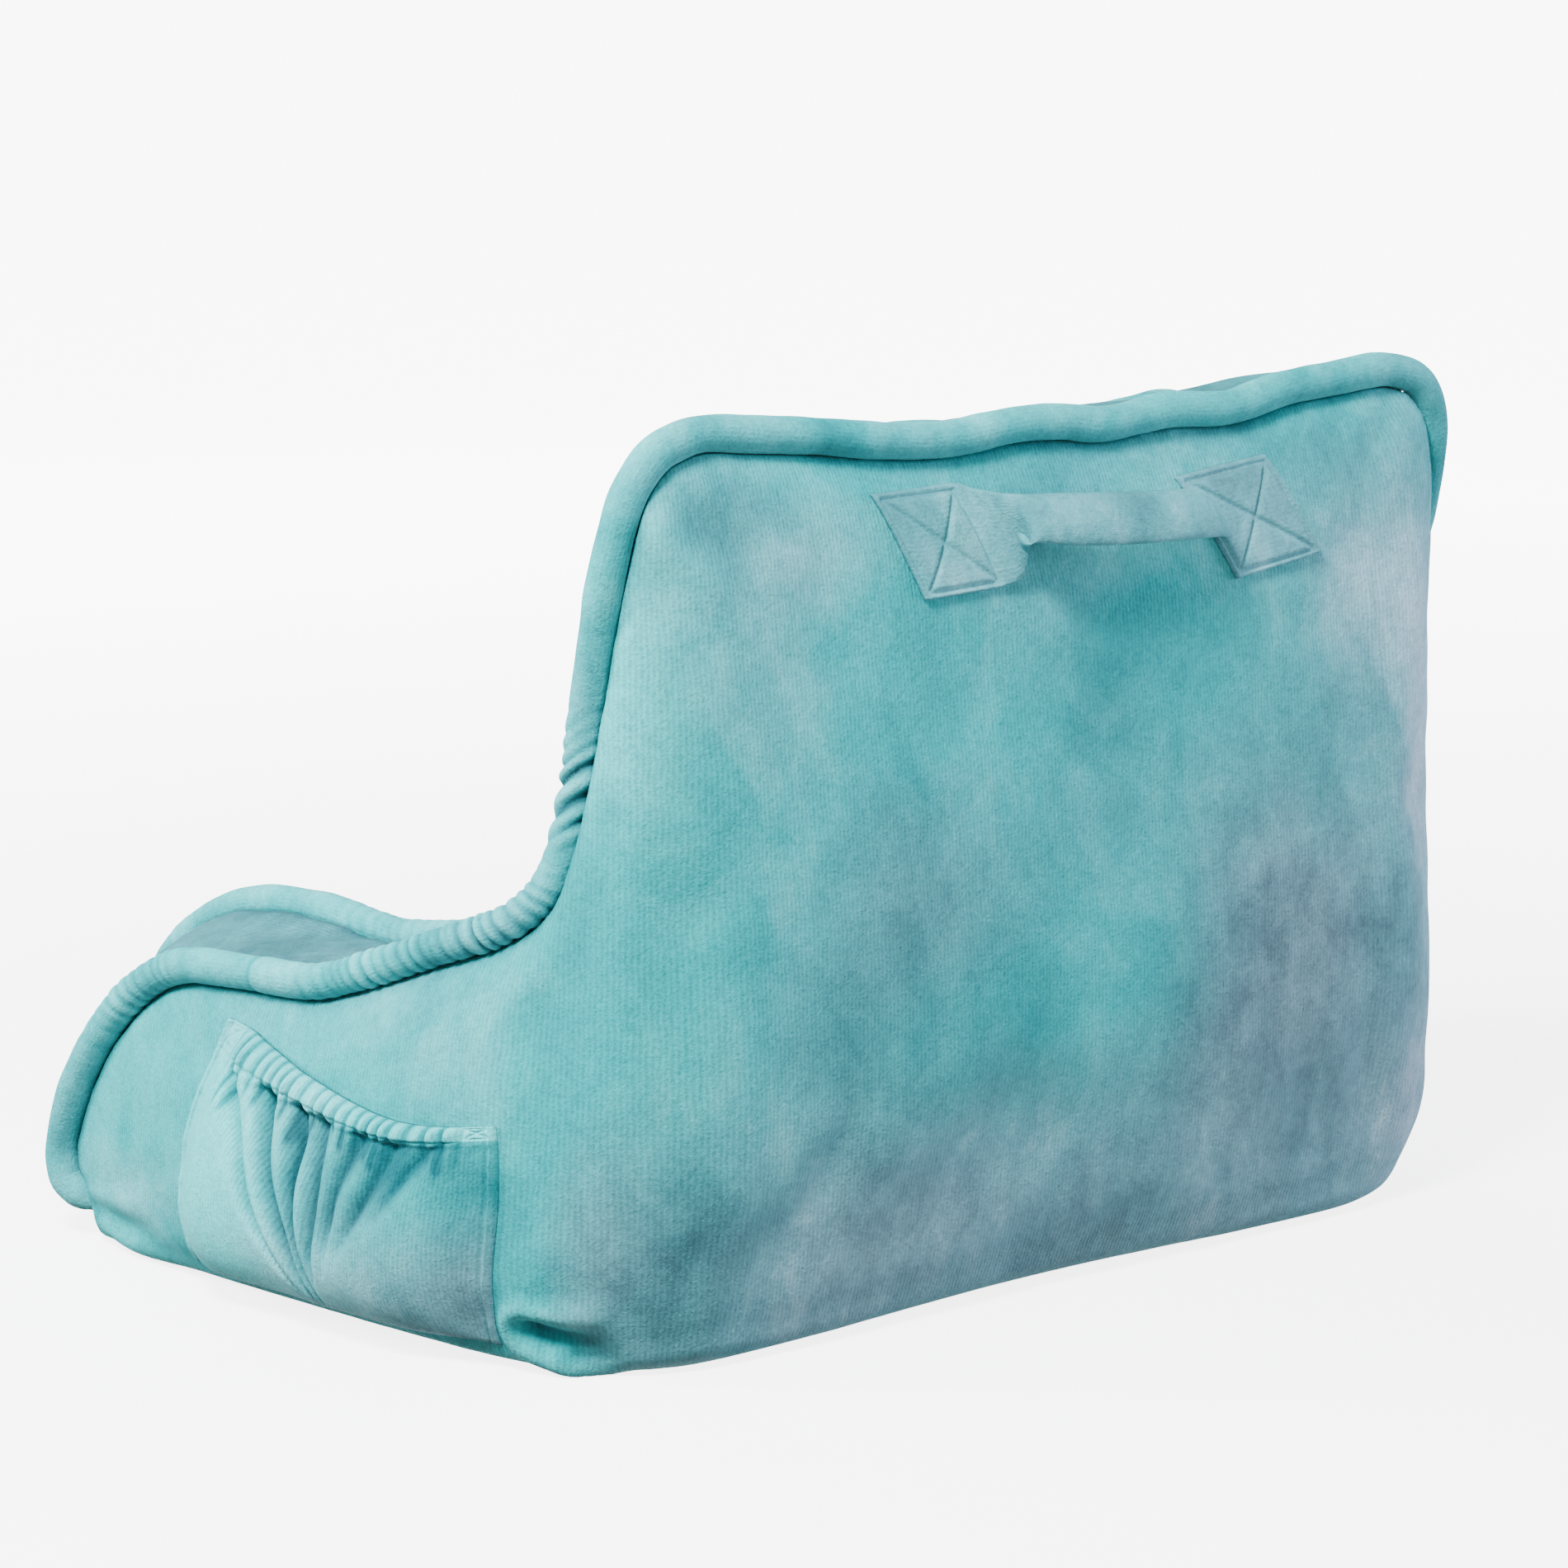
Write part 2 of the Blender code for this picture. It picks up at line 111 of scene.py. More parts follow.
# Patches of the body's pile: some are mottling of its own, others painted light, a painted highlight
# on the round corner and by its seam, painted shade under the top corner and low on the back, and a
# painted grey sheen on the far side. The middle of each patch and its reach along x, y and z in
# millimetres, how much paler the pile looks there (deeper where negative), and how much greyer.
PATCH_COLUMNS = ("middle", "reach", "pale", "grey")
PILE_PATCHES_AND_PAINTED_LIGHT = {
    # Painted highlight on the round corner and by its seam, painted shade under the top corner.
    "round_corner_painted_highlight":    ((258, 210, 322), (34, 60, 80), 0.40, 0.00),
    "under_corner_painted_shade":    ((212, 207, 425), (40, 60, 30), -0.16, 0.05),
    "corner_seam_painted_highlight":     ((252, 205, 410), (18, 60, 45), 0.22, 0.00),
    "frosted_top":     ((160, 212, 398), (46, 60, 26), 0.14, 0.30),
    "left_middle":     ((176, 225, 305), (42, 60, 48), 0.16, 0.12),
    "behind_handle":   ((20, 216, 378), (130, 60, 26), 0.02, 0.10),
    "first_blotch":    ((-48, 222, 328), (34, 60, 28), -0.16, 0.00),
    # Painted shade low in the middle of the back.
    "lower_middle_painted_shade":    ((100, 236, 205), (80, 60, 55), -0.24, 0.20),
    "second_blotch":   ((175, 237, 159), (34, 60, 30), -0.20, 0.00),
    "third_blotch":    ((49, 240, 126), (44, 60, 26), -0.20, 0.05),
    # Painted grey sheen on the far side, with painted shade low down.
    "far_painted_sheen":       ((-222, 220, 345), (48, 60, 72), 0.26, 0.75),
    "far_edge_painted_sheen":        ((-268, 220, 260), (28, 60, 130), 0.45, 0.70),
    "far_lower_painted_sheen_and_shade":       ((-165, 236, 170), (90, 60, 80), -0.38, 0.70),
    # Painted shade low by the near corner.
    "near_low_painted_shade":        ((250, 205, 66), (62, 70, 72), -0.20, -0.35),
    "arm_foot":        ((349, -105, 40), (40, 60, 22), 0.10, 0.30),
    "arm_front":       ((345, -120, 110), (40, 40, 40), 0.10, 0.00),
}

# Where each welt is gathered: the share of its length from the +X foot, half the stretch's length as
# a share, how deep the gathers are, how far apart, and how much they slant, in millimetres.
GATHER_COLUMNS = ("middle", "half_length", "depth", "pitch", "slant")
WELT_GATHERS = {
    "arm_front": (0.082, 0.022, 1.3, 8.5, 2.0),
    "arm_dip":   (0.186, 0.026, 1.9, 8.5, 3.0),
    "crook":     (0.226, 0.018, 2.6, 8.0, 2.0),
    "pleats":    (0.273, 0.013, 4.6, 12.0, 9.0),
}
INNER_GATHERS = 0.3         # the inner welt is gathered less, as a share
WELT_JOIN = 0.1345          # where the cord's cloth is joined, as a share of the outer welt's length

# The side pocket's edges from the foot up: distance forward of the body's rear corner along the arm,
# and height, in metres. The front edge is the CAD solid's, and the rear one is 4 to 5 mm nearer the
# back, as in the photo.
POCKET_FRONT_EDGE = ((0.274, 0.014), (0.278, 0.050), (0.275, 0.085), (0.264, 0.117), (0.254, 0.145))
POCKET_REAR_EDGE = ((0.056, 0.014), (0.053, 0.050), (0.052, 0.085), (0.053, 0.110), (0.055, 0.125))
POCKET_WIDTH = 0.194        # on the arm, between its sewn sides
POCKET_HEIGHT = 0.125       # on the arm, at its rear side
POCKET_WEAVE = (0.26, 0.13)  # what the gathered cloth measures along and up
MOUTH_SAG = 0.010           # how far the mouth's middle hangs down
MOUTH_OPEN = 6 * MM         # how far the mouth gapes
BELLY = 21 * MM             # how far the pocket bulges between its foot and its mouth
CASING_RIB = 4.6 * MM       # height of the ruches in the casing
LOWER_RIB = 2.6 * MM        # and just below it
FOLD_SHADE = 0.080          # painted shade in the folds, for each millimetre of a fold's depth
RUCHE_SHADE = 0.75          # and painted shade between two ruches
# Deep folds of the gathered pocket, fanning out from one point near its foot: where each meets the
# mouth as a share of the length from the front edge, the height share of its lower end, its depth in
# millimetres and its half width as a share.
POCKET_FAN = (0.57, -0.10)
POCKET_FOLD_COLUMNS = ("top", "end", "depth", "width")
POCKET_FOLDS = {
    "first":  (0.12, 0.04, 9.0, 0.032),
    "second": (0.275, 0.02, 16.0, 0.037),
    "third":  (0.40, 0.02, 14.0, 0.032),
    "fourth": (0.51, 0.08, 11.0, 0.040),
    "fifth":  (0.64, 0.14, 9.0, 0.046),
    "sixth":  (0.77, 0.20, 8.0, 0.048),
    "seventh": (0.88, 0.34, 6.5, 0.040),
}

# The handle's strip from its +X end to its rounded end at -X: upper and lower edge (x, z and how far
# each stands off the back), and its thickness, in millimetres.
STRIP_COLUMNS = ("top_x", "top_z", "top_stand", "foot_x", "foot_z", "foot_stand", "thickness")
STRIP_SECTIONS = {
    "first_end":    (113.3, 421.0, 0.0, 90.3, 368.0, 0.0, 3.6),
    "first_middle": (85.0, 421.0, 0.0, 65.0, 369.0, 0.0, 3.6),
    "first_seam":   (57.0, 421.5, 0.0, 40.0, 370.0, 0.0, 3.6),
    "lobe":         (50.0, 419.0, 4.0, 29.5, 374.0, 1.5, 7.0),
    "pinch":        (44.0, 417.5, 11.0, 31.0, 386.0, 6.0, 11.0),
    "strap_start":  (33.0, 416.5, 17.0, 36.0, 393.5, 17.0, 13.0),
    "strap_first":  (8.0, 415.5, 20.0, 10.0, 390.5, 20.0, 13.0),
    "strap_second": (-26.0, 413.0, 21.0, -26.0, 388.0, 21.0, 13.0),
    "strap_third":  (-60.0, 411.0, 19.0, -63.0, 386.5, 19.0, 12.5),
    "strap_end":    (-85.0, 409.5, 14.0, -92.0, 385.0, 13.0, 12.0),
    "fold":         (-92.5, 407.5, 9.0, -107.0, 382.5, 8.0, 10.0),
    "fold_edge":    (-94.5, 406.5, 8.0, -110.0, 382.0, 7.0, 7.0),
}
# The corners of the stitched patches on the back, x and z in millimetres: top and foot at the +X
# side, then foot and top at the -X side.
FIRST_PATCH = ((113.3, 421.0), (90.3, 368.0), (38.0, 370.0), (57.0, 421.5))
SECOND_PATCH = ((-89.4, 413.0), (-119.8, 359.0), (-182.0, 367.0), (-154.5, 419.5))
PATCH_THICKNESS = 3.6 * MM
EDGE_ROUNDING = 2.4 * MM    # how far in from its edge a patch is rounded
STRIP_WIDTH = 0.055         # of the handle's cloth, before it is folded
PATCH_LENGTH = 0.065        # of the second patch, along the handle
THINNEST = 0.8 * MM         # of the handle's cloth, in its deepest stitch


# ---- Settings a user would change ----------------------------------------------------------------
class BodySettings(bpy.types.PropertyGroup):
    voxel: FloatProperty(name="Cell size", description="Size of the cloth's cells",
                         default=5 * MM, subtype="DISTANCE")
    shrink: FloatProperty(name="Start inset", description="How far the cloth starts inside its shape",
                          default=1.5 * MM, subtype="DISTANCE")
    pressure: FloatProperty(name="Filling pressure", description="Push of the filling on the cloth",
                            default=8.0)
    cap: FloatProperty(name="Most swelling", description="How far the filling may push the cloth",
                       default=6 * MM, subtype="DISTANCE")
    frames: IntProperty(name="Settling steps", description="Steps of the cloth simulation", default=20)


class WeltSettings(bpy.types.PropertyGroup):
    radius: FloatProperty(name="Radius", description="Radius of the covered cord",
                          default=9.5 * MM, subtype="DISTANCE")
    seat_gap: FloatProperty(name="Seat gap", description="Space between the cord and the body",
                            default=0.4 * MM, subtype="DISTANCE")
    step: FloatProperty(name="Ring spacing", description="Distance between the cord's rings",
                        default=1.6 * MM, subtype="DISTANCE")


class PocketSettings(bpy.types.PropertyGroup):
    casing: FloatProperty(name="Casing height", description="Height of the elastic casing",
                          default=18 * MM, subtype="DISTANCE")
    ruches: IntProperty(name="Ruches", description="Small gathers along the casing", default=24)
    thickness: FloatProperty(name="Thickness", description="Thickness of the pile cloth",
                             default=2 * MM, subtype="DISTANCE")


class HandleSettings(bpy.types.PropertyGroup):
    stitch_inset: FloatProperty(name="Stitch inset", description="Stitching's distance from the edge",
                                default=3.5 * MM, subtype="DISTANCE")
    stitch_depth: FloatProperty(name="Stitch depth", description="How deep the stitching presses in",
                                default=2.2 * MM, subtype="DISTANCE")


class VelourSettings(bpy.types.PropertyGroup):
    wale: FloatProperty(name="Wale spacing", description="Distance between the knit's upright lines",
                        default=2.4 * MM, subtype="DISTANCE")
    bump: FloatProperty(name="Pile depth", description="How far the pile's tufts stand up",
                        default=0.8 * MM, subtype="DISTANCE")


class StageSettings(bpy.types.PropertyGroup):
    light_power: FloatProperty(name="Light power", description="Power that the softboxes share",
                               default=230.0, unit="POWER")
    floor_glow: FloatProperty(name="Floor glow", description="How strongly the floor glows",
                              default=4.5)
    world_strength: FloatProperty(name="Surroundings", description="Strength of the pale surroundings",
                                  default=0.28)
    lens: FloatProperty(name="Lens", description="Focal length of the camera", default=113.68)


SETTINGS = {
    "pillow_body_settings": BodySettings,
    "pillow_welt_settings": WeltSettings,
    "pillow_pocket_settings": PocketSettings,
    "pillow_handle_settings": HandleSettings,
    "pillow_velour_settings": VelourSettings,
    "pillow_stage_settings": StageSettings,
}


def settings(name):
    return getattr(bpy.context.scene, f"pillow_{name}_settings")


# ---- Small helpers -------------------------------------------------------------------------------
def select_only(obj):
    for item in bpy.context.selected_objects:
        item.select_set(False)
    obj.select_set(True)
    bpy.context.view_layer.objects.active = obj


def apply_modifier(obj, kind, **values):
    modifier = obj.modifiers.new(kind.title(), kind)
    for key, value in values.items():
        setattr(modifier, key, value)
    select_only(obj)
    bpy.ops.object.modifier_apply(modifier=modifier.name)


def coordinates(mesh):
    values = np.empty(len(mesh.vertices) * 3)
    mesh.vertices.foreach_get("co", values)
    return values.reshape(-1, 3)


def normals(mesh):
    values = np.empty(len(mesh.vertices) * 3)
    mesh.vertex_normals.foreach_get("vector", values)
    return values.reshape(-1, 3)


def move_to(mesh, values):
    mesh.vertices.foreach_set("co", values.ravel())
    mesh.update()


def spread(mesh, values, rounds, weights):
    """Move each vertex's values towards its neighbours' mean, half way in a round at full weight."""
    pairs = np.empty(len(mesh.edges) * 2, int)
    mesh.edges.foreach_get("vertices", pairs)
    first, second = pairs.reshape(-1, 2).T
    degree = np.bincount(pairs, minlength=len(values))[:, None]
    for _ in range(rounds):
        total = np.zeros_like(values)
        np.add.at(total, first, values[second])
        np.add.at(total, second, values[first])
        values = values + (total / degree - values) * (0.5 * weights)[:, None]
    return values


def relax(mesh, weights, rounds):
    """Smooth the surface, each point by its own weight, so that sewn lines can stay crisp."""
    move_to(mesh, spread(mesh, coordinates(mesh), rounds, weights))


def smoothstep(values):
    t = np.clip(values, 0.0, 1.0)
    return t * t * (3 - 2 * t)


def edge_crown(from_edge, reach):
    """How full a piece is at each distance from its edge: round over its first stretch, then even."""
    return np.sqrt(1 - (1 - np.clip(from_edge / reach, 0, 1)) ** 2)


def merged_copy(node, name):
    """A new object with a CAD node's mesh, its loose triangles merged and paired into quads."""
    obj = bpy.data.objects.new(name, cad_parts[node].data.copy())
    bpy.context.scene.collection.objects.link(obj)
    obj.data.materials.clear()
    select_only(obj)
    bpy.ops.object.mode_set(mode="EDIT")
    bpy.ops.mesh.select_all(action="SELECT")
    bpy.ops.mesh.remove_doubles(threshold=SAME_PLACE)
    bpy.ops.mesh.tris_convert_to_quads(face_threshold=math.pi, shape_threshold=math.pi)
    bpy.ops.object.mode_set(mode="OBJECT")
    return obj


def new_mesh_object(name, points, faces):
    mesh = bpy.data.meshes.new(name)
    mesh.from_pydata([tuple(p) for p in points], [], faces)
    mesh.update()
    obj = bpy.data.objects.new(name, mesh)
    bpy.context.scene.collection.objects.link(obj)
    select_only(obj)
    bpy.ops.object.mode_set(mode="EDIT")
    bpy.ops.mesh.select_all(action="SELECT")
    bpy.ops.mesh.normals_make_consistent(inside=False)
    bpy.ops.object.mode_set(mode="OBJECT")
    mesh.shade_smooth()
    return obj


def closed_sheet(name, front, back):
    """A sheet from two grids of points, its two faces, joined round their edges."""
    lines, count = front.shape[:2]
    points = np.concatenate([front.reshape(-1, 3), back.reshape(-1, 3)])
    index = np.arange(lines * count).reshape(lines, count)
    faces = []
    for i in range(lines - 1):
        for k in range(count - 1):
            quad = [index[i, k], index[i, k + 1], index[i + 1, k + 1], index[i + 1, k]]
            faces.append([int(q) for q in quad])
            faces.append([int(q) + lines * count for q in reversed(quad)])
    rim = list(index[:, 0]) + list(index[-1, 1:]) + list(index[-2::-1, -1]) + list(index[0, -2:0:-1])
    for first, second in zip(rim, rim[1:] + rim[:1]):
        first, second = int(first), int(second)
        faces.append([first, second, second + lines * count, first + lines * count])
    return new_mesh_object(name, points, faces)


def smooth_rows(rows, steps):
    """Rows on a smooth curve through the given rows, with the same number of steps between each."""
    rows = np.array(rows, float)
    padded = np.concatenate([rows[:1], rows, rows[-1:]])
    result = []
    for k in range(1, len(padded) - 2):
        a, b, c, d = padded[k - 1:k + 3]
        for step in range(steps):
            t = step / steps
            result.append(0.5 * (2 * b + (c - a) * t + (2 * a - 5 * b + 4 * c - d) * t ** 2
                                 + (3 * b - a - 3 * c + d) * t ** 3))
    return np.array(result + [rows[-1]])


def pile_noise(places, pitch, seed=0.0):
    """Smooth noise from about -1 to 1 at each value, with bumps about a pitch apart."""
    t = places / pitch
    value = 0.0
    for share, pace, start in ((0.5, 1.0, 0.3), (0.3, 1.73, 1.9), (0.2, 2.91, 4.1)):
        value = value + share * np.sin(2 * math.pi * pace * t * 0.5 + start + seed * pace)
    return value


# ---- The welts' lines, read from the CAD solids --------------------------------------------------
def centre_line(node):
    """The middle of each ring of a CAD welt, from its foot at +X to its foot at -X."""
    bm = bmesh.new()
    bm.from_mesh(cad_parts[node].data)
    bmesh.ops.remove_doubles(bm, verts=bm.verts, dist=SAME_PLACE)
    bm.normal_update()
    lowest = min((v for v in bm.verts if v.co.x > 0), key=lambda v: v.co.z)
    # The first ring is the edge of the end face at that foot, which points down.
    foot_reach = 30 * MM
    points_down = -0.7
    end_face = [f for f in bm.faces if f.normal.z < points_down
                and (f.calc_center_median() - lowest.co).length < foot_reach]
    ring = {v for f in end_face for v in f.verts}
    seen = set(ring)
    middles = []
    while ring:
        middles.append(sum((v.co for v in ring), Vector()) / len(ring))
        ring = {e.other_vert(v) for v in ring for e in v.link_edges} - seen
        seen |= ring
    bm.free()
    return np.array(middles)


def resampled(line, step):
    """A smooth line through the given points, in even steps, and how far along it each step is."""
    fine = smooth_rows(line, 8)
    lengths = np.concatenate([[0.0], np.cumsum(np.linalg.norm(np.diff(fine, axis=0), axis=1))])
    count = int(round(lengths[-1] / step))
    places = np.linspace(0.0, lengths[-1], count + 1)
    return np.stack([np.interp(places, lengths, fine[:, k]) for k in range(3)], axis=1), places


def settle_crook(points):
    """Lower the cloth a little where the arm's top meets the back's front, behind the outer welt."""
    at_plus_x = np.column_stack([np.abs(points[:, 0]), points[:, 1:]])
    reach = np.exp(-np.sum(((at_plus_x - CROOK) / CROOK_REACH) ** 2, axis=1))
    return points - np.array([0.0, 0.0, CROOK_DROP]) * reach[:, None]


def unit(vectors):
    return vectors / np.maximum(np.linalg.norm(vectors, axis=-1, keepdims=True), 1e-9)


def point_tree(points):
    """A tree that finds the nearest of the given points."""
    tree = KDTree(len(points))
    for index, point in enumerate(points):
        tree.insert(point, index)
    tree.balance()
    return tree


class SeamLine:
    """One welt's line with its directions: along it, across the gusset, and out of the body."""

    def __init__(self, own, other, toward_panel, step):
        self.points, self.places = resampled(settle_crook(own), step)
        # Each end turns in at the arm's foot, where the base seam holds it.
        from_end = np.minimum(self.places, self.places[-1] - self.places)
        turned = 1 - smoothstep(from_end / WELT_TURN)
        self.points[:, 1] += WELT_TURN_BACK * turned
        self.points[:, 0] -= WELT_TURN_IN * turned * np.sign(self.points[:, 0])
        self.taper = np.sqrt(np.clip(from_end / WELT_TAPER, 0.05, 1.0))
        # Round a tip the body's cloth isn't drawn to the cord.
        self.held = smoothstep((from_end - 1 * MM) / (8 * MM))
        self.along = unit(np.gradient(self.points, axis=0))
        tree = point_tree(other)
        share = self.places / self.places[-1] * (len(other) - 1)
        paired = np.stack([np.interp(share, np.arange(len(other)), other[:, k]) for k in range(3)], axis=1)
        nearest = np.array([tree.find(point)[0][:] for point in self.points])
        across = unit(0.5 * (paired + nearest) - self.points)
        self.across = unit(across - self.along * np.sum(across * self.along, axis=1, keepdims=True))
        self.out = unit(np.cross(self.along, self.across) * toward_panel)
        self.tree = point_tree(self.points)

    def nearest(self, points):
        return np.array([self.tree.find(point)[1] for point in points])

    def offset(self, points, nearest):
        """Each point's offset square to the line at its nearest place, and how far along it lies."""
        offset = points - self.points[nearest]
        lengthwise = np.sum(offset * self.along[nearest], axis=1)
        return offset - self.along[nearest] * lengthwise[:, None], lengthwise

    def beside(self, points, nearest):
        """How far across the gusset each point lies from the line, measured level with the floor."""
        across = self.across[nearest] * (1.0, 1.0, 0.0)
        return np.sum((points - self.points[nearest]) * unit(across), axis=1)


def seam_lines(step):
    outer = centre_line("outer_welt")
    inner = centre_line("inner_welt")
    return SeamLine(outer, inner, 1.0, step), SeamLine(inner, outer, -1.0, step)


# ---- Velour --------------------------------------------------------------------------------------
def linear(code):
    """An sRGB hex colour as linear values with full alpha."""
    parts = [int(code[k:k + 2], 16) / 255 for k in (1, 3, 5)]
    return [p / 12.92 if p <= 0.04045 else ((p + 0.055) / 1.055) ** 2.4 for p in parts] + [1.0]


def add_node(owner, kind, inputs=None, **attributes):
    """Add a node to a material or a world; an input takes a value, or is joined to an output."""
    node = owner.node_tree.nodes.new(kind)
    for key, value in attributes.items():
        setattr(node, key, value)
    for key, value in (inputs or {}).items():
        if isinstance(value, bpy.types.NodeSocket):
            owner.node_tree.links.new(value, node.inputs[key])
        else:
            node.inputs[key].default_value = value
    return node


# The sizes of the velour's patterns: marks where a hand has stroked the pile, smaller ones where it
# was crushed, the wavering of the knit lines, and the pile's tufts. A noise pattern has about one
# bump in its length. Both kinds of mark reach further upwards than sideways.
STROKE_SIZE = 58.82 * MM
CRUSH_SIZE = 18.18 * MM
WAVER_SIZE = 16.67 * MM
TUFT_SIZE = 4 * MM
FINE_TUFT_SIZE = 1.429 * MM
UPRIGHT_MARKS = (1.0, 1.0, 0.7)

# How the pile's look depends on them: the strokes' share in its lean, the crushed marks' share where
# it is not grey and how much more where it is grey, the strokes' share in its grey tone and the level
# that this tone starts from, and how far the knit lines waver, in radians.
STROKE_SHARE = 0.7
CRUSH_STANDING = 0.3
CRUSH_WHERE_GREY = 0.9
GREY_STROKES = 0.4
GREY_FROM = 0.22
WAVER = 6.0
# The height of the knit lines and of the tufts, as shares of the fine tufts' height.
WALE_HEIGHT = 0.12
TUFT_HEIGHT = 0.9

CLOTH_UV = "cloth_uv"       # the layer that holds the weave's coordinates

# Each tone of the pile from deep to pale. The grey one is for grey pile and for painted grey sheen and
# shade.
AQUA_NAP = ("#005F68", "#04A2A6", "#50D2D5")
GREY_NAP = ("#5C7482", "#7C9FB1", "#B8D2E2")


def pile_colour(material, place):
    """The pile's colour: deep or pale, and greyer, as its attributes say, with painted highlights, sheen
    and shade.
    """
    nap_and_painted_light = add_node(material, "ShaderNodeAttribute", attribute_name="nap_and_painted_light")
    grey_and_painted_light = add_node(material, "ShaderNodeAttribute", attribute_name="grey_and_painted_light")
    stretch = add_node(material, "ShaderNodeMapping", {"Vector": place, "Scale": UPRIGHT_MARKS})
    strokes = add_node(material, "ShaderNodeTexNoise", {
        "Vector": stretch.outputs[0], "Scale": 1 / STROKE_SIZE, "Detail": 6.0, "Roughness": 0.6,
        "Distortion": 0.8})
    crushed = add_node(material, "ShaderNodeTexNoise", {
        "Vector": stretch.outputs[0], "Scale": 1 / CRUSH_SIZE, "Detail": 5.0, "Roughness": 0.65,
        "Distortion": 0.5})
    lean = add_node(material, "ShaderNodeMath", {
        0: strokes.outputs["Fac"], 1: STROKE_SHARE, 2: nap_and_painted_light.outputs["Fac"]}, operation="MULTIPLY_ADD")
    lean = add_node(material, "ShaderNodeMath", {0: lean.outputs[0], 1: STROKE_SHARE / 2},
                    operation="SUBTRACT")
    # Crushed marks show most where the pile is greyer.
    amount = add_node(material, "ShaderNodeMath", {
        0: grey_and_painted_light.outputs["Fac"], 1: CRUSH_WHERE_GREY, 2: CRUSH_STANDING}, operation="MULTIPLY_ADD")
    marks = add_node(material, "ShaderNodeMath", {0: crushed.outputs["Fac"], 1: 0.5},
                     operation="SUBTRACT")
    lean = add_node(material, "ShaderNodeMath", {
        0: marks.outputs[0], 1: amount.outputs[0], 2: lean.outputs[0]}, operation="MULTIPLY_ADD")
    tones = []
    for deep, middle, pale in (AQUA_NAP, GREY_NAP):
        ramp = add_node(material, "ShaderNodeValToRGB", {"Fac": lean.outputs[0]})
        elements = ramp.color_ramp.elements
        elements[0].color = linear(deep)
        elements[1].color = linear(pale)
        elements.new(0.5).color = linear(middle)
        tones.append(ramp.outputs["Color"])
    # Greyer where the grey attribute says so: the pile's own grey, and painted grey sheen and shade.
    grey_share = add_node(material, "ShaderNodeMath", {
        0: strokes.outputs["Fac"], 1: GREY_STROKES, 2: grey_and_painted_light.outputs["Fac"]}, operation="MULTIPLY_ADD")
    grey_share = add_node(material, "ShaderNodeMath", {0: grey_share.outputs[0], 1: GREY_FROM},
                      operation="SUBTRACT", use_clamp=True)
    colour = add_node(material, "ShaderNodeMix", {0: grey_share.outputs[0], 6: tones[0], 7: tones[1]},
                      data_type="RGBA")
    return colour.outputs[2]


def pile_height(material, place, wale_depth):
    """The knit's upright lines with tufts of pile over them.

    The lines are a little coarser than real ones, so that they show."""
    weave = add_node(material, "ShaderNodeUVMap", uv_map=CLOTH_UV)
    parts = add_node(material, "ShaderNodeSeparateXYZ", {"Vector": weave.outputs[0]})
    waver = add_node(material, "ShaderNodeTexNoise", {
        "Vector": place, "Scale": 1 / WAVER_SIZE, "Detail": 2.0})
    phase = add_node(material, "ShaderNodeMath", {
        0: parts.outputs[0], 1: 2 * math.pi / settings("velour").wale}, operation="MULTIPLY")
    phase = add_node(material, "ShaderNodeMath", {
        0: waver.outputs["Fac"], 1: WAVER, 2: phase.outputs[0]}, operation="MULTIPLY_ADD")
    wales = add_node(material, "ShaderNodeMath", {0: phase.outputs[0]}, operation="SINE")
    fine = add_node(material, "ShaderNodeTexNoise", {
        "Vector": place, "Scale": 1 / FINE_TUFT_SIZE, "Detail": 3.0, "Roughness": 0.6})
    tufts = add_node(material, "ShaderNodeTexNoise", {
        "Vector": place, "Scale": 1 / TUFT_SIZE, "Detail": 3.0, "Roughness": 0.65})
    height = add_node(material, "ShaderNodeMath", {
        0: wales.outputs[0], 1: WALE_HEIGHT * wale_depth, 2: fine.outputs["Fac"]},
        operation="MULTIPLY_ADD")
    height = add_node(material, "ShaderNodeMath", {
        0: tufts.outputs["Fac"], 1: TUFT_HEIGHT, 2: height.outputs[0]}, operation="MULTIPLY_ADD")
    return height.outputs[0]


def plush_velour(name, wale_depth):
    """Knitted polyester plush, brushed: the pile leans in patches, so it looks deep or frosted.

    It is matt with a soft sheen along its edges. The piece's two pile attributes say how pale and how
    grey it looks: partly patches of its own, partly painted highlights, sheen and shade."""
    material = bpy.data.materials.new(name)
    material.use_nodes = True
    tree = material.node_tree
    shader = tree.nodes["Principled BSDF"]
    place = add_node(material, "ShaderNodeTexCoord").outputs["Object"]
    height = pile_height(material, place, wale_depth)
    bump = add_node(material, "ShaderNodeBump", {
        "Height": height, "Strength": 0.75, "Distance": settings("velour").bump})
    # Painted highlight on the tips of the pile and painted shade on the ground between them.
    tips = add_node(material, "ShaderNodeMapRange", {
        "Value": height, "From Min": 0.6, "From Max": 1.3, "To Min": 0.74, "To Max": 1.22})
    shade = add_node(material, "ShaderNodeMix", {
        0: 1.0, 6: pile_colour(material, place), 7: tips.outputs[0]},
        data_type="RGBA", blend_type="MULTIPLY")
    tree.links.new(shade.outputs[2], shader.inputs["Base Color"])
    tree.links.new(bump.outputs[0], shader.inputs["Normal"])
    shader.inputs["Roughness"].default_value = 0.9
    shader.inputs["Specular IOR Level"].default_value = 0.1
    shader.inputs["Sheen Weight"].default_value = 0.14
    shader.inputs["Sheen Roughness"].default_value = 0.4
    shader.inputs["Sheen Tint"].default_value = linear("#66DCE2")
    return material


def body_velour():
    """The plush as it lies on the body and the pocket."""
    return bpy.data.materials.get("plush_velour") or plush_velour("plush_velour", wale_depth=1.0)


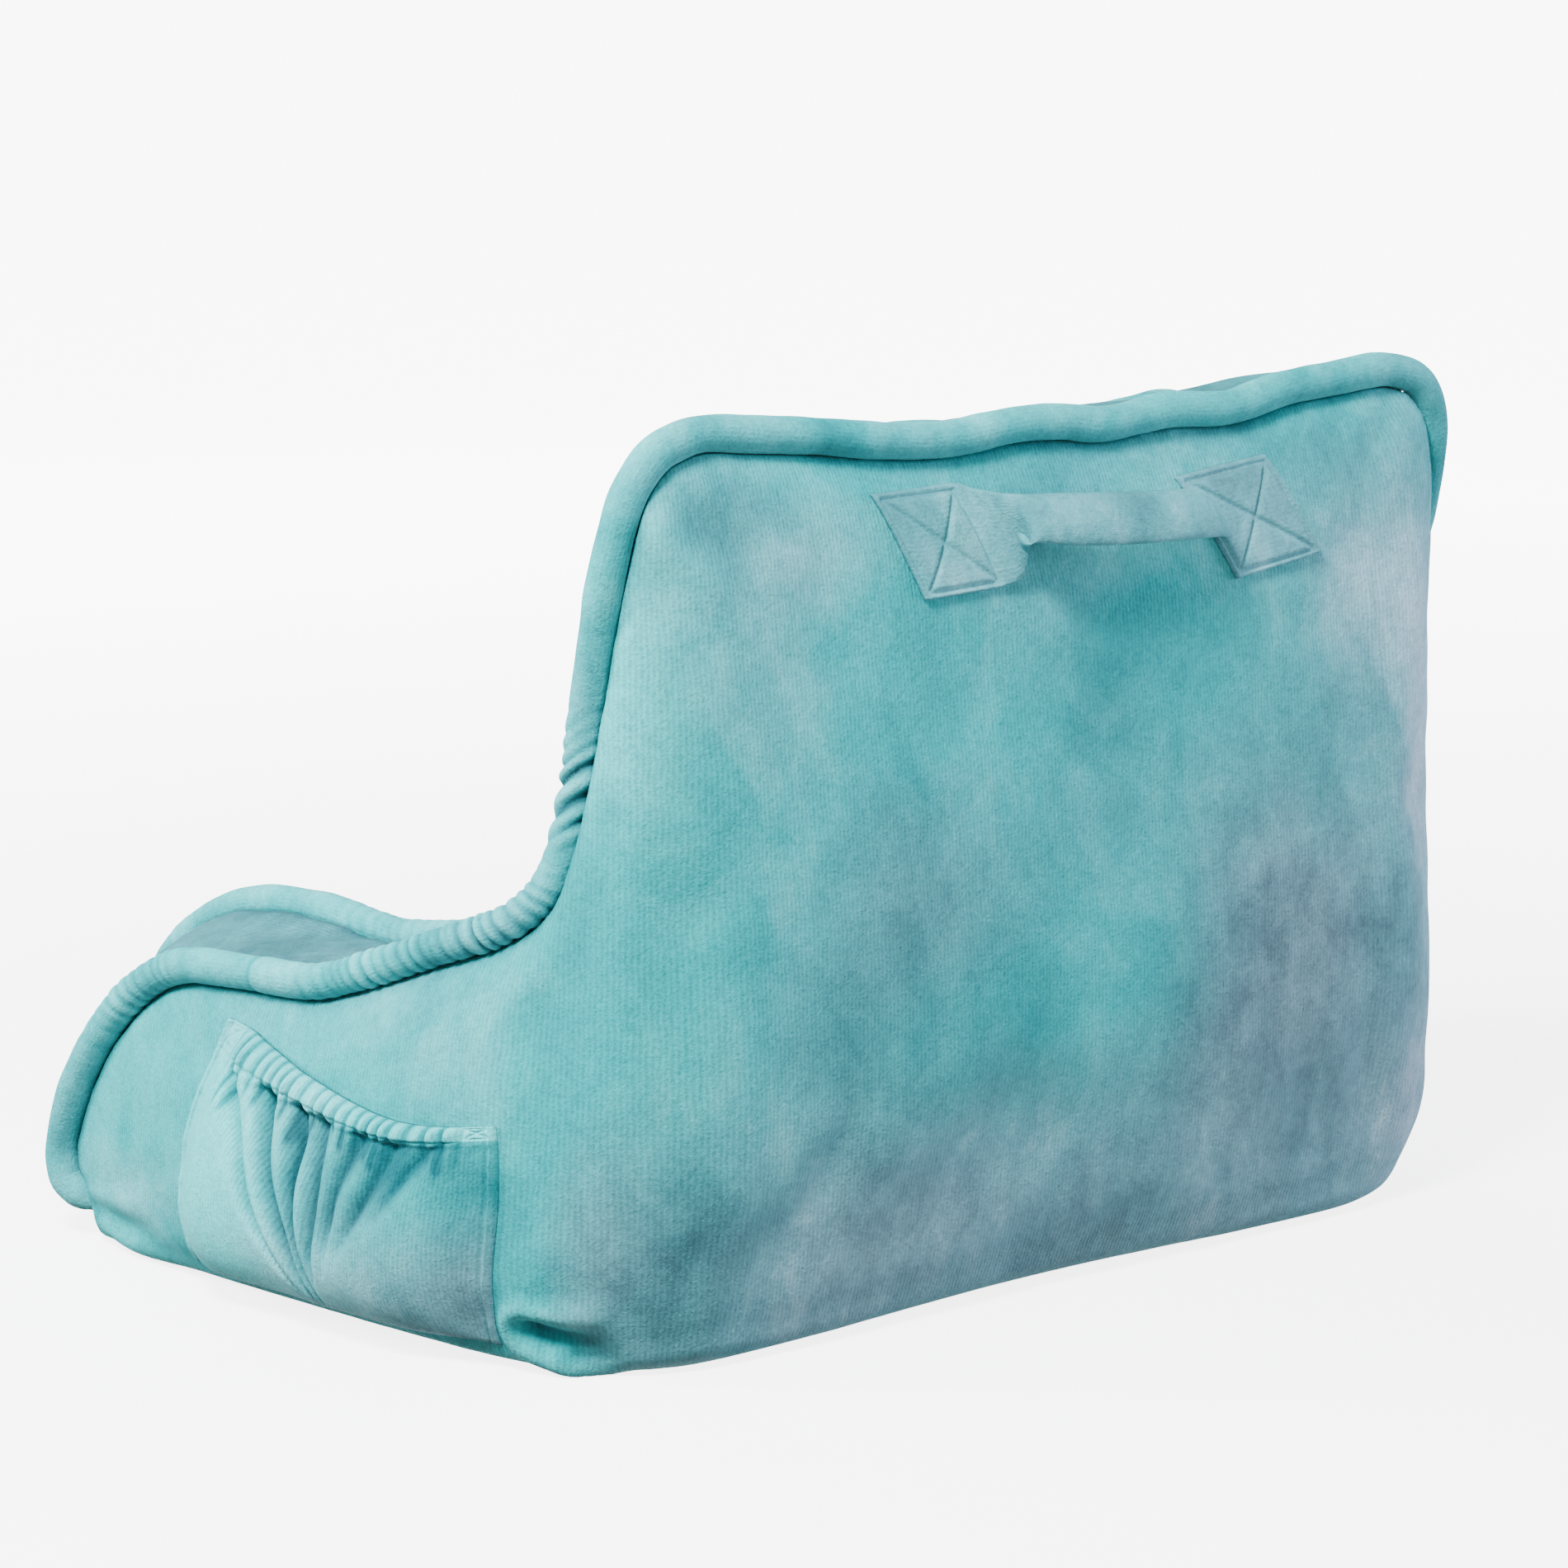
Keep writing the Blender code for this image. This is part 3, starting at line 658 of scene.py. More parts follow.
def welt_velour():
    """The same plush pulled tight over the welts' cords and the handle, so its knit shows less."""
    name = "plush_velour_on_cord"
    return bpy.data.materials.get(name) or plush_velour(name, wale_depth=0.4)


def soft_noise(points, size, seed):
    """Smooth noise from about -1 to 1 at each point, with bumps of the given size."""
    shift = Vector((seed * 7.1, seed * 3.3, seed * 5.7))
    return np.array([noise.noise(Vector(p) / size + shift) for p in points]) * 1.6


def write_pile(obj, nap_and_painted_light, grey_and_painted_light):
    """Store how pale or deep, and how grey, the pile looks at each point: its own patches with painted
    highlights, sheen and shade.
    """
    for name, values in (("nap_and_painted_light", nap_and_painted_light), ("grey_and_painted_light", grey_and_painted_light)):
        layer = obj.data.attributes.new(name, "FLOAT", "POINT")
        layer.data.foreach_set("value", np.broadcast_to(values, len(obj.data.vertices)).copy())


def write_uv(obj, per_vertex):
    """Store the cloth's own coordinates, in metres along and across its weave."""
    layer = obj.data.uv_layers.new(name=CLOTH_UV)
    loops = np.empty(len(obj.data.loops), int)
    obj.data.loops.foreach_get("vertex_index", loops)
    layer.data.foreach_set("uv", per_vertex[loops].ravel())


def along_floor_edge(points, edge_y, corner_x, radius):
    """How far along a floor edge, from the middle of the back, and how far off it, each point is."""
    turn = math.pi / 2 - ARM_SPLAY
    straight = corner_x - radius * math.tan(turn / 2)
    x = np.abs(points[:, 0])
    from_centre = np.stack([x - straight, points[:, 1] - (edge_y - radius)], axis=1)
    angle = np.clip(np.arctan2(from_centre[:, 0], from_centre[:, 1]), 0.0, turn)
    beyond = from_centre @ np.array([math.sin(ARM_SPLAY), -math.cos(ARM_SPLAY)])
    distance = np.where(x < straight, x, straight + radius * angle + np.maximum(beyond, 0.0))
    outward = from_centre @ np.array([math.cos(ARM_SPLAY), math.sin(ARM_SPLAY)])
    reach = np.where(beyond > 0, outward, np.linalg.norm(from_centre, axis=1))
    gap = np.where(x < straight, points[:, 1] - edge_y, reach - radius)
    return distance * np.sign(points[:, 0]), np.abs(gap)


# ---- The filled body -----------------------------------------------------------------------------
def press_folds(points, outward, folds):
    """Push the surface in along each fold, deepest at the fold's first third and fading at its ends."""
    for values in folds.values():
        fold = dict(zip(FOLD_COLUMNS, values))
        start = np.array(fold["start"]) * MM
        end = np.array(fold["end"]) * MM
        line = end - start
        t = np.clip((points - start) @ line / (line @ line), 0.0, 1.0)
        distance = np.linalg.norm(points - (start + t[:, None] * line), axis=1)
        fade = smoothstep((1.0 - t) / 0.6) * smoothstep((t + 0.25) / 0.3)
        width = fold["half_width"] * MM * (1 + 0.8 * t)
        push = fold["depth"] * MM * fade * (np.exp(-(distance / width) ** 2)
                                            - 0.45 * np.exp(-((distance - 2 * width) / width) ** 2))
        points = points - outward * push[:, None]
    return points


def near_seams(points, seams):
    """How far each point is from the nearer welt's line."""
    gaps = [np.linalg.norm(points - seam.points[seam.nearest(points)], axis=1) for seam in seams]
    return np.minimum(*gaps)


def seat_for_welt(points, outward, seam, radius):
    """Draw the cloth in beside a welt, pucker it along the sewn line and clear the cord."""
    nearest = seam.nearest(points)
    place = seam.places[nearest]
    offset = seam.offset(points, nearest)[0]
    beyond = np.maximum(np.linalg.norm(offset, axis=1) - radius, 0.0)
    draw = DRAWN_IN * np.exp(-(beyond / DRAWN_REACH) ** 2)
    reach = PUCKER_REACH * (1 + 0.4 * pile_noise(place, 90 * MM, 2.0))
    pucker = PUCKER_HEIGHT * pile_noise(place, PUCKER_PITCH) * np.exp(-(beyond / reach) ** 2)
    points = points - outward * (draw - pucker)[:, None]
    # The cloth meets the cord all along the sewn line, and nowhere lies inside it.
    offset, lengthwise = seam.offset(points, nearest)
    distance = np.linalg.norm(offset, axis=1)
    seat = radius + settings("welt").seat_gap
    excess = distance - seat
    pulled = np.where(excess > 0, excess * smoothstep(excess / MEETING_REACH), 0.0)
    not_past_tip = np.abs(lengthwise) < 3 * MM
    change = np.where(not_past_tip, seat + pulled - distance, 0.0) * seam.held[nearest]
    return points + unit(offset) * change[:, None]


class PILLOW_OT_body(bpy.types.Operator):
    """Fill the body: its cloth is pressed out by the filling between seams that stay where they are"""
    bl_idname = "pillow.filled_body"
    bl_label = "Filled body"

    def execute(self, context):
        values = settings("body")
        radius = settings("welt").radius
        obj = merged_copy("pillow_body", "filled_body")
        apply_modifier(obj, "REMESH", mode="VOXEL", voxel_size=values.voxel)
        seams = seam_lines(settings("welt").step)
        start = settle_crook(coordinates(obj.data))
        move_to(obj.data, start)
        near = near_seams(start, seams)
        above = smoothstep(start[:, 2] / FREE_FROM_FLOOR)
        relax(obj.data, smoothstep((near - radius) / (22 * MM)) * (0.25 + 0.75 * above), 14)
        free = smoothstep((near - radius - 2 * MM) / FREE_FROM_WELT) * above
        start = coordinates(obj.data) - normals(obj.data) * (values.shrink * free)[:, None]
        move_to(obj.data, start)
        self.press_out(obj, values, near < radius + 3 * MM, start, free)
        apply_modifier(obj, "SUBSURF", levels=1, render_levels=1)
        points = coordinates(obj.data)
        outward = normals(obj.data)
        spare = smoothstep((near_seams(points, seams) - radius) / FREE_FROM_WELT)
        lumps = 0.0
        for seed, (height, size) in enumerate((LARGE_LUMPS, SMALL_LUMPS), start=1):
            lumps = lumps + height * soft_noise(points, size, seed)
        points = points + outward * (lumps * spare * smoothstep(points[:, 2] / (25 * MM)))[:, None]
        unfolded = points
        points = press_folds(points, outward, BODY_FOLDS)
        # The folds' depth, which sets the painted shade in them.
        painted_fold_shade = np.sum((unfolded - points) * outward, axis=1) / MM
        for seam in seams:
            points = seat_for_welt(points, outward, seam, radius)
        points[:, 2] = np.maximum(points[:, 2], 0.0)
        move_to(obj.data, points)
        gusset = self.lay_weave(obj, points, seams)
        self.brush_pile(obj, points, seams, gusset, painted_fold_shade)
        obj.data.shade_smooth()
        obj.data.materials.append(body_velour())
        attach(obj, "root")
        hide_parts("pillow_body")
        return {"FINISHED"}

    def press_out(self, obj, values, sewn, start, free):
        """Simulate the cloth with the filling's pressure, then limit how far it has swollen."""
        outward = normals(obj.data)
        group = obj.vertex_groups.new(name="sewn")
        held = np.flatnonzero(sewn | (start[:, 2] < 2 * MM))
        group.add([int(k) for k in held], 1.0, "REPLACE")
        modifier = obj.modifiers.new("Cloth", "CLOTH")
        cloth = modifier.settings
        cloth.quality = 5
        cloth.use_pressure = True
        cloth.uniform_pressure_force = values.pressure
        cloth.vertex_group_mass = "sewn"
        cloth.effector_weights.gravity = 0.0
        modifier.point_cache.frame_start = 1
        modifier.point_cache.frame_end = values.frames
        scene = bpy.context.scene
        for step in range(1, values.frames + 1):
            scene.frame_set(step)
        select_only(obj)
        bpy.ops.object.modifier_apply(modifier=modifier.name)
        scene.frame_set(1)
        # It swells only along its normals, which leaves out stray creases, and less near the seams.
        moved = np.sum((coordinates(obj.data) - start) * outward, axis=1)
        limit = values.cap * np.maximum(free, 0.02)
        move_to(obj.data, start + outward * (limit * np.tanh(moved / limit))[:, None])
        relax(obj.data, free, 6)
        obj.vertex_groups.clear()

    def lay_weave(self, obj, points, seams):
        """Store the cloth's coordinates, round the body or along the gusset, and return the gusset."""
        outer, inner = seams
        first = outer.nearest(points)
        beside_outer = outer.beside(points, first)
        beside_inner = inner.beside(points, inner.nearest(points))
        proud = np.sum((points - outer.points[first]) * outer.out[first], axis=1)
        outer_u, outer_gap = along_floor_edge(points, BACK_Y, HALF_WIDTH, CORNER_RADIUS)
        inner_u, inner_gap = along_floor_edge(points, BACK_Y - BASE_THICKNESS, SEAT_HALF_WIDTH,
                                              SEAT_CORNER_RADIUS)
        lowest_gusset = -9 * MM
        gusset = (beside_outer > 0) & (beside_inner > 0) & (proud > lowest_gusset)
        # Its edge lies under the welts; blending takes out stray points at the top corners.
        gusset = spread(obj.data, gusset.astype(float)[:, None], 40, np.ones(len(points)))[:, 0] > 0.5
        panel_u = np.where(outer_gap <= inner_gap, outer_u, inner_u + INNER_PANEL_START)
        u = np.where(gusset, beside_outer, panel_u)
        v = np.where(gusset, outer.places[first], points[:, 2])
        write_uv(obj, np.stack([u, v], axis=1))
        return gusset

    def brush_pile(self, obj, points, seams, gusset, painted_fold_shade):
        """How the body's pile looks: its own mottled patches, painted highlights, sheen and shade, painted
        shade low on the back and a painted grey sheen on top.
        """
        nap_and_painted_light = 0.5 + 0.14 * soft_noise(points, 85 * MM, 3)
        grey_and_painted_light = 0.02 + 0.16 * soft_noise(points, 110 * MM, 4)
        for values in PILE_PATCHES_AND_PAINTED_LIGHT.values():
            patch = dict(zip(PATCH_COLUMNS, values))
            offset = (points / MM - patch["middle"]) / patch["reach"]
            reach = np.exp(-np.sum(offset ** 2, axis=1))
            nap_and_painted_light = nap_and_painted_light + patch["pale"] * reach
            grey_and_painted_light = grey_and_painted_light + patch["grey"] * reach
        # A little painted light on the arm's outer side.
        arm = smoothstep((np.abs(points[:, 0]) - 0.28) / 0.03) * smoothstep((0.19 - points[:, 1]) / 0.06)
        nap_and_painted_light = nap_and_painted_light + 0.06 * arm
        # Painted shade low on the back, deeper and greyer, and a little paler just above the floor.
        back = smoothstep((points[:, 1] - 0.17) / 0.04)
        low = 1 - smoothstep((points[:, 2] - 45 * MM) / (140 * MM))
        under = 1 - smoothstep((points[:, 2] - 15 * MM) / (60 * MM))
        nap_and_painted_light = nap_and_painted_light + back * (0.10 * under - 0.15 * low)
        grey_and_painted_light = grey_and_painted_light + back * low * 0.70
        # The gusset is deeper and greyer than the panels: a painted grey sheen.
        nap_and_painted_light = nap_and_painted_light - 0.36 * gusset
        grey_and_painted_light = grey_and_painted_light + 0.22 * gusset
        # Painted shade beside the welts, where the seam pulls the cloth in, and in the folds.
        from_cord = near_seams(points, seams) - settings("welt").radius
        nap_and_painted_light = nap_and_painted_light - 0.35 * np.exp(-(from_cord / (4 * MM)) ** 2) - 0.06 * painted_fold_shade
        write_pile(obj, nap_and_painted_light, grey_and_painted_light)


# ---- The welts -----------------------------------------------------------------------------------
def gather_profile(seam, angle, joined):
    """How far the cord's cloth rises or sinks along and round it: small gathers and a few pleats."""
    share = seam.places / seam.places[-1]
    rise = 0.35 * MM * pile_noise(seam.places, 34 * MM, 1.0)[:, None] * (1 + 0.3 * np.sin(angle))[None, :]
    for number, values in enumerate(WELT_GATHERS.values()):
        gather = dict(zip(GATHER_COLUMNS, values))
        for side in (1, -1):
            middle = gather["middle"] if side > 0 else 1 - gather["middle"]
            reach = np.exp(-((share - middle) / gather["half_length"]) ** 2)
            slant = seam.places[:, None] + side * gather["slant"] * MM * np.sin(angle + 0.6)[None, :]
            pitch = gather["pitch"] * MM
            wave = np.abs(np.sin(math.pi * slant / pitch + 1.9 * pile_noise(slant, 5 * pitch, number)))
            uneven = 0.8 + 0.5 * pile_noise(slant, 2.3 * pitch, number + 3.0)
            depth = gather["depth"] * MM * (1.0 if joined else INNER_GATHERS)
            rise = rise - depth * reach[:, None] * uneven * ((1 - wave) ** 1.1 - 0.22)
    if joined:
        gap = seam.places - WELT_JOIN * seam.places[-1]
        rise = rise - (0.9 * MM * np.exp(-(gap / (1.6 * MM)) ** 2))[:, None]
    return rise


def make_welt(name, seam, joined, sides=32):
    """A cord of rings along a seam's line, closed at both ends, with its weave and its pile."""
    radius = settings("welt").radius
    pile_sink = 0.25 * MM
    angle = np.linspace(0, 2 * math.pi, sides, endpoint=False)
    rise = gather_profile(seam, angle, joined)
    total = (radius + rise - pile_sink) * seam.taper[:, None]
    directions = (seam.across[:, None, :] * np.cos(angle)[None, :, None]
                  + seam.out[:, None, :] * np.sin(angle)[None, :, None])
    rings = seam.points[:, None, :] + directions * total[:, :, None]
    count = len(seam.points)
    points = list(rings.reshape(-1, 3)) + [seam.points[0], seam.points[-1]]
    faces = []
    for i in range(count - 1):
        for k in range(sides):
            m = (k + 1) % sides
            faces.append([i * sides + k, i * sides + m, (i + 1) * sides + m, (i + 1) * sides + k])
    for k in range(sides):
        m = (k + 1) % sides
        faces.append([count * sides, m, k])
        faces.append([count * sides + 1, (count - 1) * sides + k, (count - 1) * sides + m])
    obj = new_mesh_object(name, points, faces)
    u = np.tile(angle * radius, count)
    v = np.repeat(seam.places, sides)
    ends = np.array([[0.0, 0.0], [0.0, seam.places[-1]]])
    write_uv(obj, np.concatenate([np.stack([u, v], axis=1), ends]))
    # Painted highlight along the crest, and painted shade on the half that faces the body and in the
    # gathers.
    crest_highlight_and_gather_shade = np.tile(0.12 * np.sin(angle), count) + 0.34 * rise.ravel() / MM
    tips = [0.0, 0.0]
    crest_highlight_and_gather_shade = np.concatenate([crest_highlight_and_gather_shade, tips])
    places = coordinates(obj.data)
    write_pile(obj, 0.58 + crest_highlight_and_gather_shade + 0.09 * soft_noise(places, 60 * MM, 5),
               0.10 + 0.10 * soft_noise(places, 90 * MM, 6))
    obj.data.materials.append(welt_velour())
    return obj


class PILLOW_OT_welts(bpy.types.Operator):
    """Make both covered cords, with the gathers that their cloth takes round the curves"""
    bl_idname = "pillow.welts"
    bl_label = "Welts"

    def execute(self, context):
        outer, inner = seam_lines(settings("welt").step)
        for name, seam, node in (("outer_cord_welt", outer, "outer_welt"),
                                 ("inner_cord_welt", inner, "inner_welt")):
            obj = make_welt(name, seam, joined=seam is outer)
            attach(obj, "root")
            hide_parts(node)
        return {"FINISHED"}


# ---- The side pocket -----------------------------------------------------------------------------
def body_tree():
    mesh = bpy.data.objects["filled_body"].data
    return BVHTree.FromPolygons([v.co for v in mesh.vertices], [p.vertices for p in mesh.polygons])


def stitched(places, lines, width):
    """How deep stitching along the given lines presses each place in, from 0 to 1."""
    depth = np.zeros(places.shape[:-1])
    for start, end in lines:
        line = np.subtract(end, start)
        t = np.clip((places - start) @ line / (line @ line), 0.0, 1.0)
        gap = np.linalg.norm(places - start - t[..., None] * line, axis=-1)
        depth = np.maximum(depth, np.exp(-(gap / width) ** 2))
    return depth


def box_and_cross(corners):
    """The lines of a sewn box with a cross in it."""
    lines = list(zip(corners, corners[1:] + corners[:1]))
    return lines + [(corners[0], corners[2]), (corners[1], corners[3])]


def fold_relief(along, up, casing):
    """How deep the folds press in, fanning out from near the foot and fading out at the casing."""
    apex_along, apex_up = POCKET_FAN
    fan = apex_along + (along - apex_along) * (casing - apex_up) / (up - apex_up)
    below = smoothstep((casing + 0.01 - up) / 0.06)
    depth = 0.0
    for row in POCKET_FOLDS.values():
        fold = dict(zip(POCKET_FOLD_COLUMNS, row))
        fade = smoothstep((up - fold["end"]) / 0.28) * below
        bend = fold["top"] + 0.012 * np.sin(9 * up + 20 * fold["top"])
        shape = np.exp(-np.abs((fan - bend) / fold["width"]) ** 1.4)
        depth = depth + fold["depth"] * MM * fade * shape
    return depth


def ruche_relief(along, up, casing, clear_of_ends):
    """How far the ruches stand up, in the casing and running on below it, and the dips between."""
    phase = settings("pocket").ruches * math.pi * along + 0.9 * pile_noise(along, 0.17, 0.5)
    rib = np.abs(np.sin(phase))
    uneven = 0.8 + 0.3 * pile_noise(along, 0.09, 2.0)
    in_casing = np.clip((up - casing) / (1 - casing), 0, 1)
    upper = CASING_RIB * rib * np.sin(math.pi * np.clip(in_casing, 0.04, 0.93)) ** 0.5 * (up > casing)
    fade = smoothstep((up - casing + 0.20 + 0.1 * pile_noise(along, 0.13, 4.0)) / 0.2)
    lower = LOWER_RIB * rib * fade * (up <= casing)
    # The dips set the painted shade between the ruches.
    dips = (1 - rib) * clear_of_ends * smoothstep((fade - 0.1) / 0.5)
    return (upper + lower) * clear_of_ends * uneven, dips


def hem_relief(up, from_side):
    """The side hems: rolled, with a line of stitches inside the roll, and slightly puckered."""
    roll = 1.3 * MM * np.sin(math.pi * np.clip(from_side / (4 * MM), 0, 1))
    stitches = 1.0 * MM * np.exp(-((from_side - 4.6 * MM) / (1.0 * MM)) ** 2)
    puckers = 0.5 * MM * pile_noise(up, 0.11, 1.0) * np.exp(-(from_side / (14 * MM)) ** 2)
    return roll - stitches + puckers


def corner_tacks(along, up):
    """How deep the small sewn box with a cross presses in at each top corner."""
    size = 11 * MM
    margin = 3 * MM
    low, high = POCKET_HEIGHT - 15 * MM, POCKET_HEIGHT - 2.5 * MM
    lines = []
    for near in (margin, POCKET_WIDTH - margin - size):
        far = near + size
        lines += box_and_cross([(near, low), (far, low), (far, high), (near, high)])
    metres = np.stack([along * POCKET_WIDTH, up * POCKET_HEIGHT], axis=-1)
    return 1.1 * MM * stitched(metres, lines, 0.9 * MM)


def pocket_relief(along, up):
    """How far the pocket's cloth stands off the arm, its thickness, and the painted shade in its folds,
    between its ruches and along its stitching.
    """
    values = settings("pocket")
    from_side = np.minimum(along, 1 - along) * POCKET_WIDTH
    casing = 1 - values.casing / POCKET_HEIGHT
    clear_of_ends = smoothstep((from_side - 12 * MM) / (10 * MM))
    # It is sewn flat at both sides and full between them.
    full = smoothstep(along / 0.17) ** 0.8 * smoothstep((1 - along) / 0.26) ** 0.8
    mouth = MOUTH_OPEN * up ** 2 * smoothstep(along / 0.4)
    belly = BELLY * np.sin(math.pi * up ** 0.55) ** 0.75
    folds = fold_relief(along, up, casing)
    ruches, dips = ruche_relief(along, up, casing, clear_of_ends)
    stitch = 1.1 * MM * np.exp(-((up - casing) * POCKET_HEIGHT / (1.4 * MM)) ** 2)
    stand = full * np.maximum(mouth + belly - folds, 0.0) + 0.2 * MM
    # Its edges are rounded, down to a thin rim.
    edge = np.minimum(np.minimum(from_side, up * POCKET_HEIGHT), (1 - up) * POCKET_HEIGHT + 0.4 * MM)
    rounding = edge_crown(edge, 2.2 * MM)
    proud = ruches + hem_relief(up, from_side) - corner_tacks(along, up)
    proud = proud - stitch * (0.4 + 0.6 * clear_of_ends)
    thick = np.maximum(values.thickness * (0.25 + 0.75 * rounding) + proud * rounding, 0.5 * MM)
    # Painted shade, deepest in the folds' valleys, between the ruches and along the casing's stitch.
    painted_fold_shade = FOLD_SHADE * full * folds / MM + RUCHE_SHADE * dips + 0.1 * stitch / MM
    return stand, thick, painted_fold_shade


class PILLOW_OT_pocket(bpy.types.Operator):
    """Sew the gathered side pocket on its arm, with an elastic casing along the mouth"""
    bl_idname = "pillow.pocket"
    bl_label = "Side pocket"

    def execute(self, context):
        outward = Vector((math.cos(ARM_SPLAY), math.sin(ARM_SPLAY), 0.0))
        # Closer rows in the casing, where the ruches are.
        shares = np.concatenate([np.linspace(0, 0.78, 44, endpoint=False), np.linspace(0.78, 1, 36)])
        columns = 380
        skin = self.arm_skin(shares, columns, outward)
        along, up = np.meshgrid(np.linspace(0, 1, columns + 1), shares, indexing="ij")
        stand, thick, painted_fold_shade = pocket_relief(along, up)
        inner = skin + np.array(outward) * stand[:, :, None]
        outer = inner + np.array(outward) * thick[:, :, None]
        obj = closed_sheet("gathered_pocket", outer, inner)
        uv = (np.stack([along, up], axis=2) * POCKET_WEAVE).reshape(-1, 2)
        write_uv(obj, np.concatenate([uv, uv]))
        # Paler towards the front edge and along the casing; painted shade in the folds' valleys, between
        # the ruches
        #         # and along the stitching; greyer towards the foot at the rear, a painted shade under the
        #         belly.
        points = coordinates(obj.data)
        casing = smoothstep((up - 0.84) / 0.04)
        nap_and_painted_light = (0.78 + 0.46 * np.cos(math.pi * along)) * (1 - casing) + 1.00 * casing - painted_fold_shade
        grey = 0.06 + 0.55 * smoothstep((0.6 - up) / 0.5) * smoothstep((along - 0.2) / 0.6)
        write_pile(obj, np.tile(nap_and_painted_light.ravel(), 2) + 0.14 * soft_noise(points, 45 * MM, 7),
                   np.tile(grey.ravel(), 2) + 0.12 * soft_noise(points, 60 * MM, 8))
        obj.data.materials.append(body_velour())
        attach(obj, "root")
        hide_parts("arm_pocket")
        return {"FINISHED"}

    def arm_skin(self, shares, columns, outward):
        """The arm's surface behind each place of the pocket, at these shares of its height."""
        tree = body_tree()
        forward = Vector((math.sin(ARM_SPLAY), -math.cos(ARM_SPLAY), 0.0))
        corner = Vector((HALF_WIDTH, BACK_Y, 0.0))
        edges = [smooth_rows(edge, 20) for edge in (POCKET_FRONT_EDGE, POCKET_REAR_EDGE)]
        front_edge, rear_edge = (np.stack([np.interp(shares, np.linspace(0, 1, len(edge)), edge[:, k])
                                           for k in range(2)], axis=1) for edge in edges)
        skin = np.empty((columns + 1, len(shares), 3))
        for column in range(columns + 1):
            along = column / columns
            sag = MOUTH_SAG * math.sin(math.pi * along ** 1.5)
            for row, up in enumerate(shares):
                reach, height = front_edge[row] + (rear_edge[row] - front_edge[row]) * along
                start = corner + forward * reach + outward * OUTSIDE
                start.z = height - sag * up
                point, normal = tree.ray_cast(start, -outward)[:2]
                skin[column, row] = point + normal * 0.2 * MM
        return skin


# ---- The carrying handle -------------------------------------------------------------------------
def sewn_patch_depth(places, corners):
    """How deep the box-and-cross stitching presses a patch in, at each place on it."""
    values = settings("handle")
    middle = np.mean(corners, axis=0)
    size = np.linalg.norm(np.subtract(corners[0], corners[1])) / 2
    inset = [tuple(middle + (np.array(corner) - middle) * (1 - values.stitch_inset / size))
             for corner in corners]
    return values.stitch_depth * stitched(places, box_and_cross(inset), 1.3 * MM)


def lay_on_back(tree, top, foot, shares, stand, thick):
    """One column of the handle's cloth, laid over the back between its upper and lower edge."""
    inner = []
    outer = []
    for share, off, depth in zip(shares, stand, thick):
        x, z = foot + (top - foot) * share
        point, normal = tree.ray_cast(Vector((x, BACK_Y + OUTSIDE, z)), Vector((0.0, -1.0, 0.0)))[:2]
        skin = np.array(point + normal * 0.3 * MM)
        inner.append(skin + (0.0, off, 0.0))
        outer.append(skin + (0.0, off + depth, 0.0))
    return inner, outer


